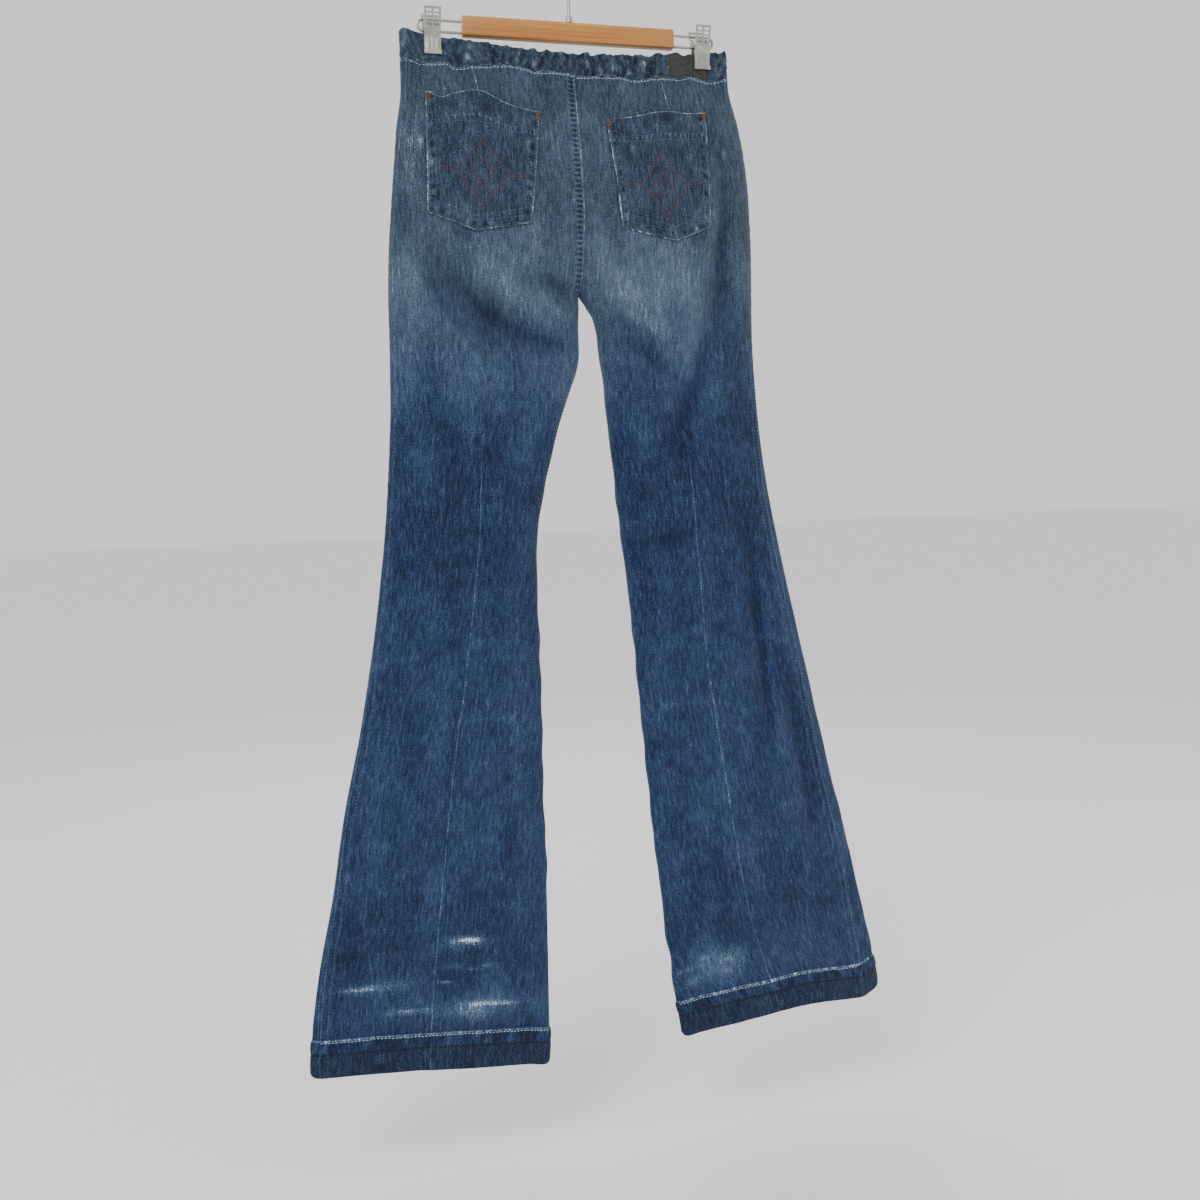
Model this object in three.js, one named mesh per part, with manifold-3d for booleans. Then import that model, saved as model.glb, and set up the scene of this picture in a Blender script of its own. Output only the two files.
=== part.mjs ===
// Flared pull-on jeans hanging by the waist from a wooden clip hanger.
// Each leg is a front and a back panel, joined at the side seam, the inseam and the centre seams. The gathered
// elastic casing, the two patch pockets and the waist patch are pieces of their own, as a maker cuts them.
// Millimetres. X runs across the garment, Y through it with its back at -Y, and Z is up.
// The origin is the inside of the hook's top, where a rail holds the hanger.
// A drop is a distance down from the waist edge at the centre back.
import * as THREE from 'three';
import { mergeVertices } from 'three/addons/utils/BufferGeometryUtils.js';
import Module from 'manifold-3d';

const wasm = await Module();
wasm.setup();

// Driving dimensions
const waistBelowHook = 120;
const casingHeight = 23;
const crotchDrop = 246;
const seatCurveHeight = 90;
const clothThickness = 1.5;
const casingThickness = 2.6;
const hemThickness = 2.8;
const hemHeight = 40;
const seamGap = 0.3;
const restGap = 0.3;
const clipX = 143.8;
const clipWidth = 16.8;
const clipTop = 35.5;
const clipBottom = -8.4;

// How far from a clip's middle its pinch and its pressing of the gathers reach, from full to none
const pinches = {
  left: { inward: [10, 42], outward: [12.5, 24], gathers: [10.5, 21] },
  right: { inward: [10, 42], outward: [12.5, 28], gathers: [9, 20] },
};

// Half widths of the two legs, from the centre line, and how far the side seam lies round onto the back
const legs = {
  left: {
    sign: -1,
    waistSlope: 0.056,
    hemDrop: 1075,
    hemRises: [
      { across: 0, rise: 0 },
      { across: 0.1, rise: 5 },
      { across: 0.3, rise: 11 },
      { across: 0.6, rise: 19 },
      { across: 0.8, rise: 22 },
      { across: 1, rise: 23 },
    ],
    sections: [
      { drop: 0, inner: 0, outer: 177, seamInset: 0 },
      { drop: 50, inner: 0, outer: 178, seamInset: 0 },
      { drop: 90, inner: 0, outer: 184, seamInset: 0 },
      { drop: 150, inner: 0, outer: 191, seamInset: 0 },
      { drop: 210, inner: 0, outer: 197, seamInset: 0 },
      { drop: 246, inner: 0, outer: 199, seamInset: 0 },
      { drop: 270, inner: 0.6, outer: 199.6, seamInset: 0 },
      { drop: 300, inner: 1.6, outer: 200, seamInset: 0 },
      { drop: 330, inner: 6, outer: 201, seamInset: 0 },
      { drop: 360, inner: 18, outer: 202, seamInset: 0 },
      { drop: 390, inner: 29, outer: 204, seamInset: 0 },
      { drop: 420, inner: 37, outer: 206.5, seamInset: 0 },
      { drop: 480, inner: 51, outer: 212.5, seamInset: 0 },
      { drop: 540, inner: 55.5, outer: 220.6, seamInset: 0 },
      { drop: 600, inner: 55.5, outer: 230.3, seamInset: 0 },
      { drop: 690, inner: 55.5, outer: 248, seamInset: 1 },
      { drop: 780, inner: 57, outer: 269.5, seamInset: 2 },
      { drop: 870, inner: 57, outer: 285, seamInset: 3 },
      { drop: 960, inner: 58.5, outer: 303, seamInset: 5 },
      { drop: 1020, inner: 59, outer: 312, seamInset: 7 },
      { drop: 1075, inner: 61.5, outer: 316.5, seamInset: 8 },
    ],
  },
  right: {
    sign: 1,
    waistSlope: 0.045,
    hemDrop: 1068,
    hemRises: [
      { across: 0, rise: 0 },
      { across: 0.1, rise: 5 },
      { across: 0.4, rise: 14 },
      { across: 0.65, rise: 19.5 },
      { across: 0.9, rise: 17 },
      { across: 1, rise: 24 },
    ],
    sections: [
      { drop: 0, inner: 0, outer: 173.5, seamInset: 0 },
      { drop: 30, inner: 0, outer: 174, seamInset: 0 },
      { drop: 70, inner: 0, outer: 184, seamInset: 0 },
      { drop: 110, inner: 0, outer: 190.6, seamInset: 0 },
      { drop: 150, inner: 0, outer: 194, seamInset: 0 },
      { drop: 200, inner: 0, outer: 195.3, seamInset: 0 },
      { drop: 246, inner: 0, outer: 195.2, seamInset: 0 },
      { drop: 256, inner: 7, outer: 195, seamInset: 0 },
      { drop: 270, inner: 15.7, outer: 194.8, seamInset: 0 },
      { drop: 300, inner: 20, outer: 195, seamInset: 0 },
      { drop: 360, inner: 26.3, outer: 199, seamInset: 3 },
      { drop: 420, inner: 31.7, outer: 205.3, seamInset: 6 },
      { drop: 480, inner: 36.6, outer: 215, seamInset: 8 },
      { drop: 540, inner: 42.8, outer: 227.2, seamInset: 9 },
      { drop: 600, inner: 48.6, outer: 240.5, seamInset: 9 },
      { drop: 690, inner: 54.8, outer: 260.5, seamInset: 10 },
      { drop: 780, inner: 61.7, outer: 280.7, seamInset: 13 },
      { drop: 870, inner: 69.5, outer: 301.2, seamInset: 14 },
      { drop: 960, inner: 78.8, outer: 318.5, seamInset: 17 },
      { drop: 1020, inner: 86, outer: 331.5, seamInset: 20 },
      { drop: 1068, inner: 93, outer: 337.5, seamInset: 22 },
    ],
  },
};

// How far the back and the front stand from the middle plane, and how square the folds at the sides are
const depths = [
  { drop: 0, back: 13, front: 13, squareness: 10 },
  { drop: 25, back: 14, front: 13.5, squareness: 10 },
  { drop: 60, back: 20, front: 15, squareness: 7 },
  { drop: 100, back: 28, front: 17, squareness: 6 },
  { drop: 150, back: 35, front: 19, squareness: 5 },
  { drop: 200, back: 34, front: 20, squareness: 5 },
  { drop: 246, back: 29, front: 20, squareness: 5.5 },
  { drop: 300, back: 25, front: 20, squareness: 6 },
  { drop: 360, back: 22, front: 20, squareness: 6 },
  { drop: 480, back: 19, front: 18, squareness: 6 },
  { drop: 700, back: 16, front: 15, squareness: 5 },
  { drop: 950, back: 14, front: 13, squareness: 5 },
  { drop: 1080, back: 12, front: 12, squareness: 5 },
];

// Largest folds: a bent line of three points (distance from the centre line, drop), its half width, and its rise
const folds = [
  { leg: 'left', face: 'back', from: [178, 140], bend: [174, 246], to: [60, 334], width: 15, rise: -5 },
  { leg: 'left', face: 'back', from: [154, 190], bend: [112, 302], to: [6, 304], width: 15, rise: -8 },
  { leg: 'left', face: 'back', from: [120, 196], bend: [82, 264], to: [6, 284], width: 13, rise: 5 },
  { leg: 'left', face: 'back', from: [66, 222], bend: [38, 246], to: [8, 256], width: 13, rise: -5 },
  { leg: 'left', face: 'back', from: [168, 316], bend: [152, 400], to: [126, 474], width: 16, rise: -4 },
  { leg: 'left', face: 'back', from: [190, 530], bend: [136, 512], to: [76, 532], width: 18, rise: -4 },
  { leg: 'left', face: 'back', from: [290, 1030], bend: [276, 950], to: [262, 860], width: 20, rise: -4 },
  { leg: 'right', face: 'back', from: [10, 76], bend: [24, 150], to: [52, 250], width: 14, rise: -5 },
  { leg: 'right', face: 'back', from: [8, 184], bend: [44, 248], to: [120, 352], width: 15, rise: 5 },
  { leg: 'right', face: 'back', from: [156, 70], bend: [166, 342], to: [62, 432], width: 16, rise: -8 },
  { leg: 'right', face: 'back', from: [22, 270], bend: [76, 284], to: [118, 362], width: 14, rise: -7 },
  { leg: 'right', face: 'back', from: [44, 518], bend: [80, 512], to: [120, 500], width: 16, rise: -4 },
  { leg: 'right', face: 'back', from: [170, 470], bend: [196, 620], to: [208, 775], width: 16, rise: -5 },
  { leg: 'right', face: 'back', from: [216, 630], bend: [244, 760], to: [268, 890], width: 16, rise: -4 },
  { leg: 'left', face: 'front', from: [150, 70], bend: [120, 190], to: [30, 260], width: 18, rise: -5 },
  { leg: 'left', face: 'front', from: [172, 190], bend: [110, 290], to: [20, 306], width: 18, rise: -6 },
  { leg: 'left', face: 'front', from: [60, 526], bend: [110, 510], to: [180, 526], width: 20, rise: -4 },
  { leg: 'left', face: 'front', from: [230, 700], bend: [246, 860], to: [270, 1010], width: 20, rise: -4 },
  { leg: 'right', face: 'front', from: [146, 66], bend: [118, 180], to: [34, 252], width: 18, rise: -5 },
  { leg: 'right', face: 'front', from: [166, 196], bend: [118, 284], to: [36, 312], width: 18, rise: -6 },
  { leg: 'right', face: 'front', from: [52, 536], bend: [100, 520], to: [170, 540], width: 20, rise: -4 },
  { leg: 'right', face: 'front', from: [196, 660], bend: [226, 850], to: [250, 1000], width: 20, rise: -4 },
];

// Patch pockets, by the distances from the centre line and the drops of their corners
const pockets = {
  left: {
    innerTop: [40, 67], outerTop: [155, 55], innerBottom: [56, 179], tip: [113, 188], outerBottom: [160, 170],
    mouthRise: 7, mouthDip: 4, mouthGape: 5,
  },
  right: {
    innerTop: [30, 70], outerTop: [140, 62], innerBottom: [40, 182], tip: [99, 194], outerBottom: [138, 179],
    mouthRise: 3, mouthDip: 0, mouthGape: 2,
  },
};
const pocketThickness = 2;
const pocketLift = 0.45;
const waistPatch = { inner: 104, outer: 149, top: 2, bottom: 22, thickness: 1.2 };

const { abs, acos, cos, exp, max, min, PI, sin, sqrt } = Math;
const mix = (a, b, share) => a + (b - a) * share;
const clamp = (value) => min(1, max(0, value));
const ramp = (low, high, value) => {
  const share = clamp((value - low) / (high - low));
  return share * share * (3 - 2 * share);
};

// A smooth curve through one column of a table, which never overshoots its rows
function read(table, column, at, key = 'drop') {
  const next = table.findIndex((entry) => entry[key] > at);
  if (next < 0) return table.at(-1)[column];
  const row = max(next, 1);
  const slope = (k) => (table[k + 1][column] - table[k][column]) / (table[k + 1][key] - table[k][key]);
  const tangent = (k) => {
    if (k === 0 || k === table.length - 1) return 0;
    const [before, after] = [slope(k - 1), slope(k)];
    return before * after <= 0 ? 0 : (2 * before * after) / (before + after);
  };
  const [start, end] = [table[row - 1], table[row]];
  const length = end[key] - start[key];
  const t = clamp((at - start[key]) / length);
  const [t2, t3] = [t * t, t * t * t];
  return start[column] * (2 * t3 - 3 * t2 + 1) + end[column] * (3 * t2 - 2 * t3)
    + length * (tangent(row - 1) * (t3 - 2 * t2 + t) + tangent(row) * (t3 - t2));
}

// A pocket's double cloth stays flat: 0 on the pocket, and 1 clear of it
function awayFromPocket(shape, fromCentre, drop) {
  const middle = (shape.innerTop[0] + shape.outerTop[0] + shape.innerBottom[0] + shape.outerBottom[0]) / 4;
  const halfWidth = (shape.outerBottom[0] - shape.innerTop[0]) / 2;
  const [top, bottom] = [shape.outerTop[1] - shape.mouthRise, shape.tip[1]];
  const radius = (((fromCentre - middle) / halfWidth) ** 4 + ((2 * drop - top - bottom) / (bottom - top)) ** 4) ** 0.25;
  return ramp(1.05, 1.35, radius);
}

// The rise of all folds of one face at a point, each fading towards its two ends
const foldSteps = 20;
const foldLines = folds.map((fold) => {
  const curve = new THREE.QuadraticBezierCurve(
    new THREE.Vector2(...fold.from), new THREE.Vector2(...fold.bend), new THREE.Vector2(...fold.to));
  return { ...fold, points: curve.getPoints(foldSteps) };
});
function foldRise(legName, face, fromCentre, drop) {
  let rise = 0;
  for (const fold of foldLines) {
    if (fold.leg !== legName || fold.face !== face) continue;
    let nearest = Infinity;
    let along = 0;
    fold.points.forEach((point, k) => {
      const distance = Math.hypot(point.x - fromCentre, point.y - drop);
      if (distance < nearest) [nearest, along] = [distance, k / foldSteps];
    });
    if (nearest < 3 * fold.width) rise += fold.rise * exp(-((nearest / fold.width) ** 2)) * sin(PI * along) ** 0.6;
  }
  return face === 'back' ? rise * awayFromPocket(pockets[legName], fromCentre, drop) : rise;
}

// Puckers of the elastic casing, a little uneven, and flat where the clips and the waist patch press them
const gatherSpacing = 15.5;
const gatherHeight = 1.5;
function gatherRise(legName, face, fromCentre) {
  const pressed = 1 - ramp(...pinches[legName].gathers, abs(fromCentre - clipX));
  const patched = legName === 'right' && face === 'back'
    ? ramp(waistPatch.inner - 6, waistPatch.inner, fromCentre) * (1 - ramp(waistPatch.outer, waistPatch.outer + 6, fromCentre))
    : 0;
  const phase = (fromCentre / gatherSpacing + 0.3 * sin(fromCentre / 31)) * 2 * PI;
  return gatherHeight * (0.8 + 0.2 * sin(fromCentre / 17)) * cos(phase) * (1 - pressed) * (1 - patched);
}

// How far the waist rises towards its sides: the casing's seam in a straight line, its top edge a little more
const seamLift = (legName, fromCentre) => legs[legName].waistSlope * fromCentre;
const topLift = (fromCentre) => 4.5 * ramp(80, 150, fromCentre) + 2 * ramp(140, 165, fromCentre) - 2.5;

// A point of the cloth's outer face. Turn 0 is the back's inner edge, 1 the outer fold, 2 the front's inner edge.
function clothPoint(legName, turn, drop, gathered = false) {
  const leg = legs[legName];
  const face = turn < 1 ? 'back' : 'front';
  const inner = read(leg.sections, 'inner', drop);
  const outer = read(leg.sections, 'outer', drop);
  const across = (1 - cos(PI * turn)) / 2;
  const fromCentre = mix(inner, outer, across);
  const squareness = read(depths, 'squareness', drop);
  const closing = clamp((drop - (crotchDrop - seatCurveHeight)) / seatCurveHeight) ** 2;
  const outerEnd = 1 - across ** squareness;
  const innerEnd = 1 - (1 - across) ** squareness;
  const shape = sqrt(max(0, outerEnd * (1 - closing + closing * innerEnd)));
  let depth = (read(depths, face, drop) + foldRise(legName, face, fromCentre, drop)) * shape;
  const [pressed, free] = fromCentre > clipX ? pinches[legName].outward : pinches[legName].inward;
  const pinch = (1 - ramp(pressed, free, abs(fromCentre - clipX))) * (1 - ramp(20, 60, drop)) * ramp(0, 0.35, shape);
  depth = mix(depth, casingThickness + 2 * restGap, pinch);
  if (gathered) depth += gatherRise(legName, face, fromCentre) * ramp(0, 0.7, shape);
  const lift = seamLift(legName, fromCentre) * (1 - ramp(casingHeight, 130, drop))
    + topLift(fromCentre) * clamp(1 - drop / (casingHeight - seamGap));
  const hemLift = read(leg.hemRises, 'rise', across, 'across') * ramp(leg.hemDrop - 320, leg.hemDrop, drop);
  return new THREE.Vector3(
    leg.sign * fromCentre, turn < 1 ? -depth : depth, -waistBelowHook - drop + lift + hemLift);
}

// The outward normal, kept in the plane of a centre seam, of an inseam, or level at a cut edge
function clothNormal(legName, turn, drop, { gathered = false, level = false } = {}) {
  const [turnStep, dropStep] = [0.004, 0.8];
  const at = (t, d) => clothPoint(legName, min(2, max(0, t)), d, gathered);
  const round = at(turn + turnStep, drop).sub(at(turn - turnStep, drop));
  const down = at(turn, drop + dropStep).sub(at(turn, drop - dropStep));
  const normal = round.cross(down).multiplyScalar(-legs[legName].sign);
  const onInnerEdge = turn === 0 || turn === 2;
  if (onInnerEdge && drop === crotchDrop) return new THREE.Vector3(0, 0, -1);
  if (onInnerEdge && drop < crotchDrop) normal.x = 0;
  if (onInnerEdge && drop > crotchDrop) normal.y = 0;
  if (level) normal.z = 0;
  return normal.normalize();
}

const sideSeamTurn = (legName, drop) => {
  const { sections } = legs[legName];
  const width = read(sections, 'outer', drop) - read(sections, 'inner', drop);
  return acos(2 * read(sections, 'seamInset', drop) / width - 1) / PI;
};

// Turns across a panel, from its inner edge to the side seam, a little closer together towards both
function panelTurns(legName, face, columns, drop) {
  const start = face === 'back' ? 0 : 2;
  const seamTurn = sideSeamTurn(legName, drop);
  const turns = [];
  for (let k = 0; k < columns; k++) turns.push(mix(start, seamTurn, k / columns + 0.05 * sin((2 * PI * k) / columns)));
  return [...turns, seamTurn];
}

// Half the seam gap, away from the seams that a point lies on
function seamShift(legName, face, turn, drop, atSideSeam = false) {
  const shift = new THREE.Vector3();
  if (turn === 0 || turn === 2) {
    if (drop <= crotchDrop) shift.x = legs[legName].sign * seamGap / 2;
    if (drop >= crotchDrop) shift.y = (face === 'back' ? -1 : 1) * seamGap / 2;
  } else if (atSideSeam) {
    const step = 0.002 * (face === 'back' ? -1 : 1);
    shift.copy(clothPoint(legName, turn + step, drop)).sub(clothPoint(legName, turn, drop)).setLength(seamGap / 2);
  }
  return shift;
}

// A closed wall between two grids of points
function wallGeometry(outerRows, innerRows) {
  const [rows, columns] = [outerRows.length, outerRows[0].length];
  const points = [...outerRows.flat(), ...innerRows.flat()];
  const outerAt = (r, c) => r * columns + c;
  const innerAt = (r, c) => rows * columns + outerAt(r, c);
  const index = [];
  const quad = (a, b, c, d) => index.push(a, b, c, a, c, d);
  for (let r = 0; r < rows - 1; r++) {
    for (let c = 0; c < columns - 1; c++) {
      quad(outerAt(r, c), outerAt(r + 1, c), outerAt(r + 1, c + 1), outerAt(r, c + 1));
      quad(innerAt(r, c), innerAt(r, c + 1), innerAt(r + 1, c + 1), innerAt(r + 1, c));
    }
  }
  for (let c = 0; c < columns - 1; c++) {
    quad(outerAt(0, c), outerAt(0, c + 1), innerAt(0, c + 1), innerAt(0, c));
    quad(outerAt(rows - 1, c + 1), outerAt(rows - 1, c), innerAt(rows - 1, c), innerAt(rows - 1, c + 1));
  }
  for (let r = 0; r < rows - 1; r++) {
    quad(outerAt(r + 1, 0), outerAt(r, 0), innerAt(r, 0), innerAt(r + 1, 0));
    quad(outerAt(r, columns - 1), outerAt(r + 1, columns - 1), innerAt(r + 1, columns - 1), innerAt(r, columns - 1));
  }
  const volume = sumOfVolumes(points, index);
  if (volume < 0) index.reverse();
  const geometry = new THREE.BufferGeometry().setFromPoints(points);
  geometry.setIndex(index);
  geometry.computeVertexNormals();
  return geometry;
}

function sumOfVolumes(points, index) {
  let volume = 0;
  for (let k = 0; k < index.length; k += 3) {
    const [a, b, c] = [points[index[k]], points[index[k + 1]], points[index[k + 2]]];
    volume += a.dot(new THREE.Vector3().crossVectors(b, c)) / 6;
  }
  return volume;
}

// The drops of a panel's rows: close together where the legs part, wide apart down the leg
function panelDrops(legName) {
  const { hemDrop } = legs[legName];
  const bands = [
    { to: 156, rows: 8 },
    { to: 228, rows: 6 },
    { to: crotchDrop, rows: 3 },
    { to: 258, rows: 2 },
    { to: 300, rows: 4 },
    { to: 440, rows: 8 },
    { to: 640, rows: 7 },
    { to: hemDrop - hemHeight - 2, rows: 8 },
    { to: hemDrop - hemHeight + 2, rows: 1 },
    { to: hemDrop, rows: 1 },
  ];
  const drops = [casingHeight + seamGap / 2];
  for (const band of bands) {
    const start = drops.at(-1);
    for (let k = 1; k <= band.rows; k++) drops.push(mix(start, band.to, k / band.rows));
  }
  return drops;
}

// One leg panel, from the inner edge to the side seam, a single wall that doubles at the hem
function legPanel(legName, face, columns) {
  const outerRows = [];
  const innerRows = [];
  const drops = panelDrops(legName);
  for (const drop of drops) {
    const level = drop === drops[0] || drop === drops.at(-1);
    const thickness = drop > legs[legName].hemDrop - hemHeight ? hemThickness : clothThickness;
    const turns = panelTurns(legName, face, columns, drop);
    const points = turns.map((turn, k) =>
      clothPoint(legName, turn, drop).add(seamShift(legName, face, turn, drop, k === columns)));
    outerRows.push(points);
    innerRows.push(points.map((point, k) =>
      point.clone().addScaledVector(clothNormal(legName, turns[k], drop, { level }), -thickness)));
  }
  return wallGeometry(outerRows, innerRows);
}

// Turns that lie evenly along the gathered line of the casing
function evenTurns(legName, from, to, count) {
  const fine = 800;
  const lengths = [0];
  let last = clothPoint(legName, from, casingHeight / 2, true);
  for (let k = 1; k <= fine; k++) {
    const point = clothPoint(legName, mix(from, to, k / fine), casingHeight / 2, true);
    lengths.push(lengths.at(-1) + point.distanceTo(last));
    last = point;
  }
  const turns = [];
  for (let k = 0; k < count; k++) {
    const place = lengths.findIndex((length) => length >= (lengths.at(-1) * k) / count);
    turns.push(mix(from, to, place / fine));
  }
  return [...turns, to];
}

// A quarter of the elastic casing, from a centre seam to a side seam
function casing(legName, face, columns) {
  const turns = evenTurns(legName, face === 'back' ? 0 : 2, 1, columns);
  const outerRows = [];
  const innerRows = [];
  for (const share of [0, 0.35, 0.7, 1]) {
    const drop = (casingHeight - seamGap / 2) * share;
    const points = turns.map((turn, k) =>
      clothPoint(legName, turn, drop, true).add(seamShift(legName, face, turn, drop, k === columns)));
    outerRows.push(points);
    innerRows.push(points.map((point, k) =>
      point.clone().addScaledVector(clothNormal(legName, turns[k], drop, { level: true }), -casingThickness)));
  }
  return wallGeometry(outerRows, innerRows);
}

// The turn on the back at which the cloth is a given distance from the centre line
function turnAt(legName, fromCentre, drop) {
  const { sections } = legs[legName];
  const inner = read(sections, 'inner', drop);
  const across = (fromCentre - inner) / (read(sections, 'outer', drop) - inner);
  return acos(1 - 2 * clamp(across)) / PI;
}

// A patch that lies on the back, from a grid of [distance from the centre line, drop, extra lift]
function patch(legName, grid, lift, thickness, gathered = false) {
  const place = ([fromCentre, drop, extra], height) => {
    const turn = turnAt(legName, fromCentre, drop);
    const normal = clothNormal(legName, turn, drop, { gathered });
    return clothPoint(legName, turn, drop, gathered).addScaledVector(normal, height + extra);
  };
  return wallGeometry(
    grid.map((row) => row.map((spot) => place(spot, lift + thickness))),
    grid.map((row) => row.map((spot) => place(spot, lift))));
}

function pocket(legName) {
  const shape = pockets[legName];
  const [halfColumns, rows] = [6, 9];
  const tipShare = (shape.tip[0] - shape.innerBottom[0]) / (shape.outerBottom[0] - shape.innerBottom[0]);
  const grid = [];
  for (let r = 0; r <= rows; r++) {
    const down = r / rows;
    const row = [];
    for (let c = 0; c <= 2 * halfColumns; c++) {
      const side = c <= halfColumns;
      const half = side ? c / halfColumns : (c - halfColumns) / halfColumns;
      const share = side ? tipShare * half : mix(tipShare, 1, half);
      const mouth = exp(-(((share - 0.54) / 0.2) ** 2));
      const dip = exp(-(((share - 0.87) / 0.07) ** 2));
      const top = mix(shape.innerTop[1], shape.outerTop[1], share) - shape.mouthRise * mouth + shape.mouthDip * dip;
      const bottom = side
        ? mix(shape.innerBottom[1], shape.tip[1], half)
        : mix(shape.tip[1], shape.outerBottom[1], half);
      const inner = mix(shape.innerTop[0], shape.innerBottom[0], down);
      const outer = mix(shape.outerTop[0], shape.outerBottom[0], down);
      row.push([mix(inner, outer, share), mix(top, bottom, down), shape.mouthGape * mouth * (1 - down) ** 5]);
    }
    grid.push(row);
  }
  return patch(legName, grid, pocketLift, pocketThickness);
}

function waistPatchGeometry() {
  const [columns, rows] = [8, 2];
  const grid = [];
  for (let r = 0; r <= rows; r++) {
    const row = [];
    for (let c = 0; c <= columns; c++) {
      row.push([mix(waistPatch.inner, waistPatch.outer, c / columns), mix(waistPatch.top, waistPatch.bottom, r / rows), 0]);
    }
    grid.push(row);
  }
  return patch('right', grid, seamGap, waistPatch.thickness, true);
}

// Joins closed geometries that overlap into one solid, and cuts others out of it
function join(geometries, holes = []) {
  const [solids, cutters] = [geometries, holes].map((list) => list.map((geometry) => {
    const plain = geometry.clone();
    plain.deleteAttribute('normal');
    plain.deleteAttribute('uv');
    const merged = mergeVertices(plain, 1e-4);
    return new wasm.Manifold(new wasm.Mesh({
      numProp: 3,
      vertProperties: merged.attributes.position.array,
      triVerts: new Uint32Array(merged.index.array),
    }));
  }));
  const whole = solids.reduce((sum, solid) => sum.add(solid));
  const mesh = cutters.reduce((rest, cutter) => rest.subtract(cutter), whole).getMesh();
  const geometry = new THREE.BufferGeometry();
  geometry.setAttribute('position', new THREE.BufferAttribute(mesh.vertProperties, 3));
  geometry.setIndex(new THREE.BufferAttribute(mesh.triVerts, 1));
  geometry.computeVertexNormals();
  return geometry;
}

// The hanger, in heights above the waist edge
const bar = { length: 226, height: 20.2, depth: 12, middle: 21.6, corner: 3, edge: 1.5 };
const loop = { radius: 1.4, middle: 20.4, bend: 5.6, reach: 152.2 };
const hook = { radius: 1.7, bend: 20, shaftTop: 66, foot: 38.3 };
const collar = { radius: 4.2, height: 6 };
const jaw = { thickness: 1, gripTop: 8, spread: 12, footHeight: 4, rib: 0.5 };
const spring = { radius: 3.9, length: 14.4 };

function roundedRectangle(width, height, radius) {
  const [x, y] = [width / 2, height / 2];
  const shape = new THREE.Shape();
  shape.moveTo(x - radius, -y).absarc(x - radius, radius - y, radius, -PI / 2, 0);
  shape.absarc(x - radius, y - radius, radius, 0, PI / 2).absarc(radius - x, y - radius, radius, PI / 2, PI);
  shape.absarc(radius - x, radius - y, radius, PI, 1.5 * PI);
  return shape;
}

function roundWire(path, radius, steps, sides = 8) {
  const section = new THREE.Shape();
  for (let k = 0; k < sides; k++) {
    const [x, y] = [radius * cos((2 * PI * k) / sides), radius * sin((2 * PI * k) / sides)];
    if (k === 0) section.moveTo(x, y);
    else section.lineTo(x, y);
  }
  return new THREE.ExtrudeGeometry(section, { steps, extrudePath: path, bevelEnabled: false });
}

class UprightArc extends THREE.Curve {
  constructor(x, z, radius, fromAngle, toAngle) {
    super();
    Object.assign(this, { x, z, radius, fromAngle, toAngle });
  }

  getPoint(t) {
    const angle = mix(this.fromAngle, this.toAngle, t);
    return new THREE.Vector3(this.x + this.radius * cos(angle), 0, this.z + this.radius * sin(angle));
  }
}

function barGeometry() {
  const section = roundedRectangle(bar.depth - 2 * bar.edge, bar.height - 2 * bar.edge, bar.corner - bar.edge);
  const geometry = new THREE.ExtrudeGeometry(section, {
    depth: bar.length - 2 * bar.edge, bevelThickness: bar.edge, bevelSize: bar.edge, bevelSegments: 2, curveSegments: 3,
  });
  geometry.translate(0, 0, bar.edge - bar.length / 2);
  return geometry.rotateX(PI / 2).rotateZ(PI / 2);
}

// A wire loop that runs out of the bar's end, round the far side of the clip, and back
function loopGeometry(sign) {
  const start = bar.length / 2 + restGap;
  const point = (x, up) => new THREE.Vector3(x, 0, up);
  const [high, low] = [loop.middle + loop.bend, loop.middle - loop.bend];
  const path = new THREE.CurvePath();
  path.add(new THREE.LineCurve3(point(start, high), point(loop.reach, high)));
  path.add(new UprightArc(loop.reach, loop.middle, loop.bend, PI / 2, -PI / 2));
  path.add(new THREE.LineCurve3(point(loop.reach, low), point(start, low)));
  const geometry = roundWire(path, loop.radius, 26);
  return sign > 0 ? geometry : geometry.rotateZ(PI);
}

function hookGeometry() {
  const middle = waistBelowHook - hook.bend + hook.radius;
  const endAngle = (-50 * PI) / 180;
  const arc = new UprightArc(0, middle, hook.bend, (205 * PI) / 180, endAngle);
  const arcEnd = arc.getPoint(1);
  const arcTangent = arc.getTangent(1).multiplyScalar(hook.bend / 2);
  const shaftStart = new THREE.Vector3(0, 0, hook.shaftTop);
  const path = new THREE.CurvePath();
  path.add(arc);
  path.add(new THREE.CubicBezierCurve3(
    arcEnd, arcEnd.clone().add(arcTangent), new THREE.Vector3(0, 0, hook.shaftTop + hook.bend / 2), shaftStart));
  path.add(new THREE.LineCurve3(shaftStart, new THREE.Vector3(0, 0, hook.foot + restGap)));
  return roundWire(path, hook.radius, 36);
}

const collarGeometry = () => new THREE.CylinderGeometry(collar.radius * 0.75, collar.radius, collar.height, 16)
  .rotateX(PI / 2)
  .translate(0, 0, bar.middle + bar.height / 2 + restGap + collar.height / 2);

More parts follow.
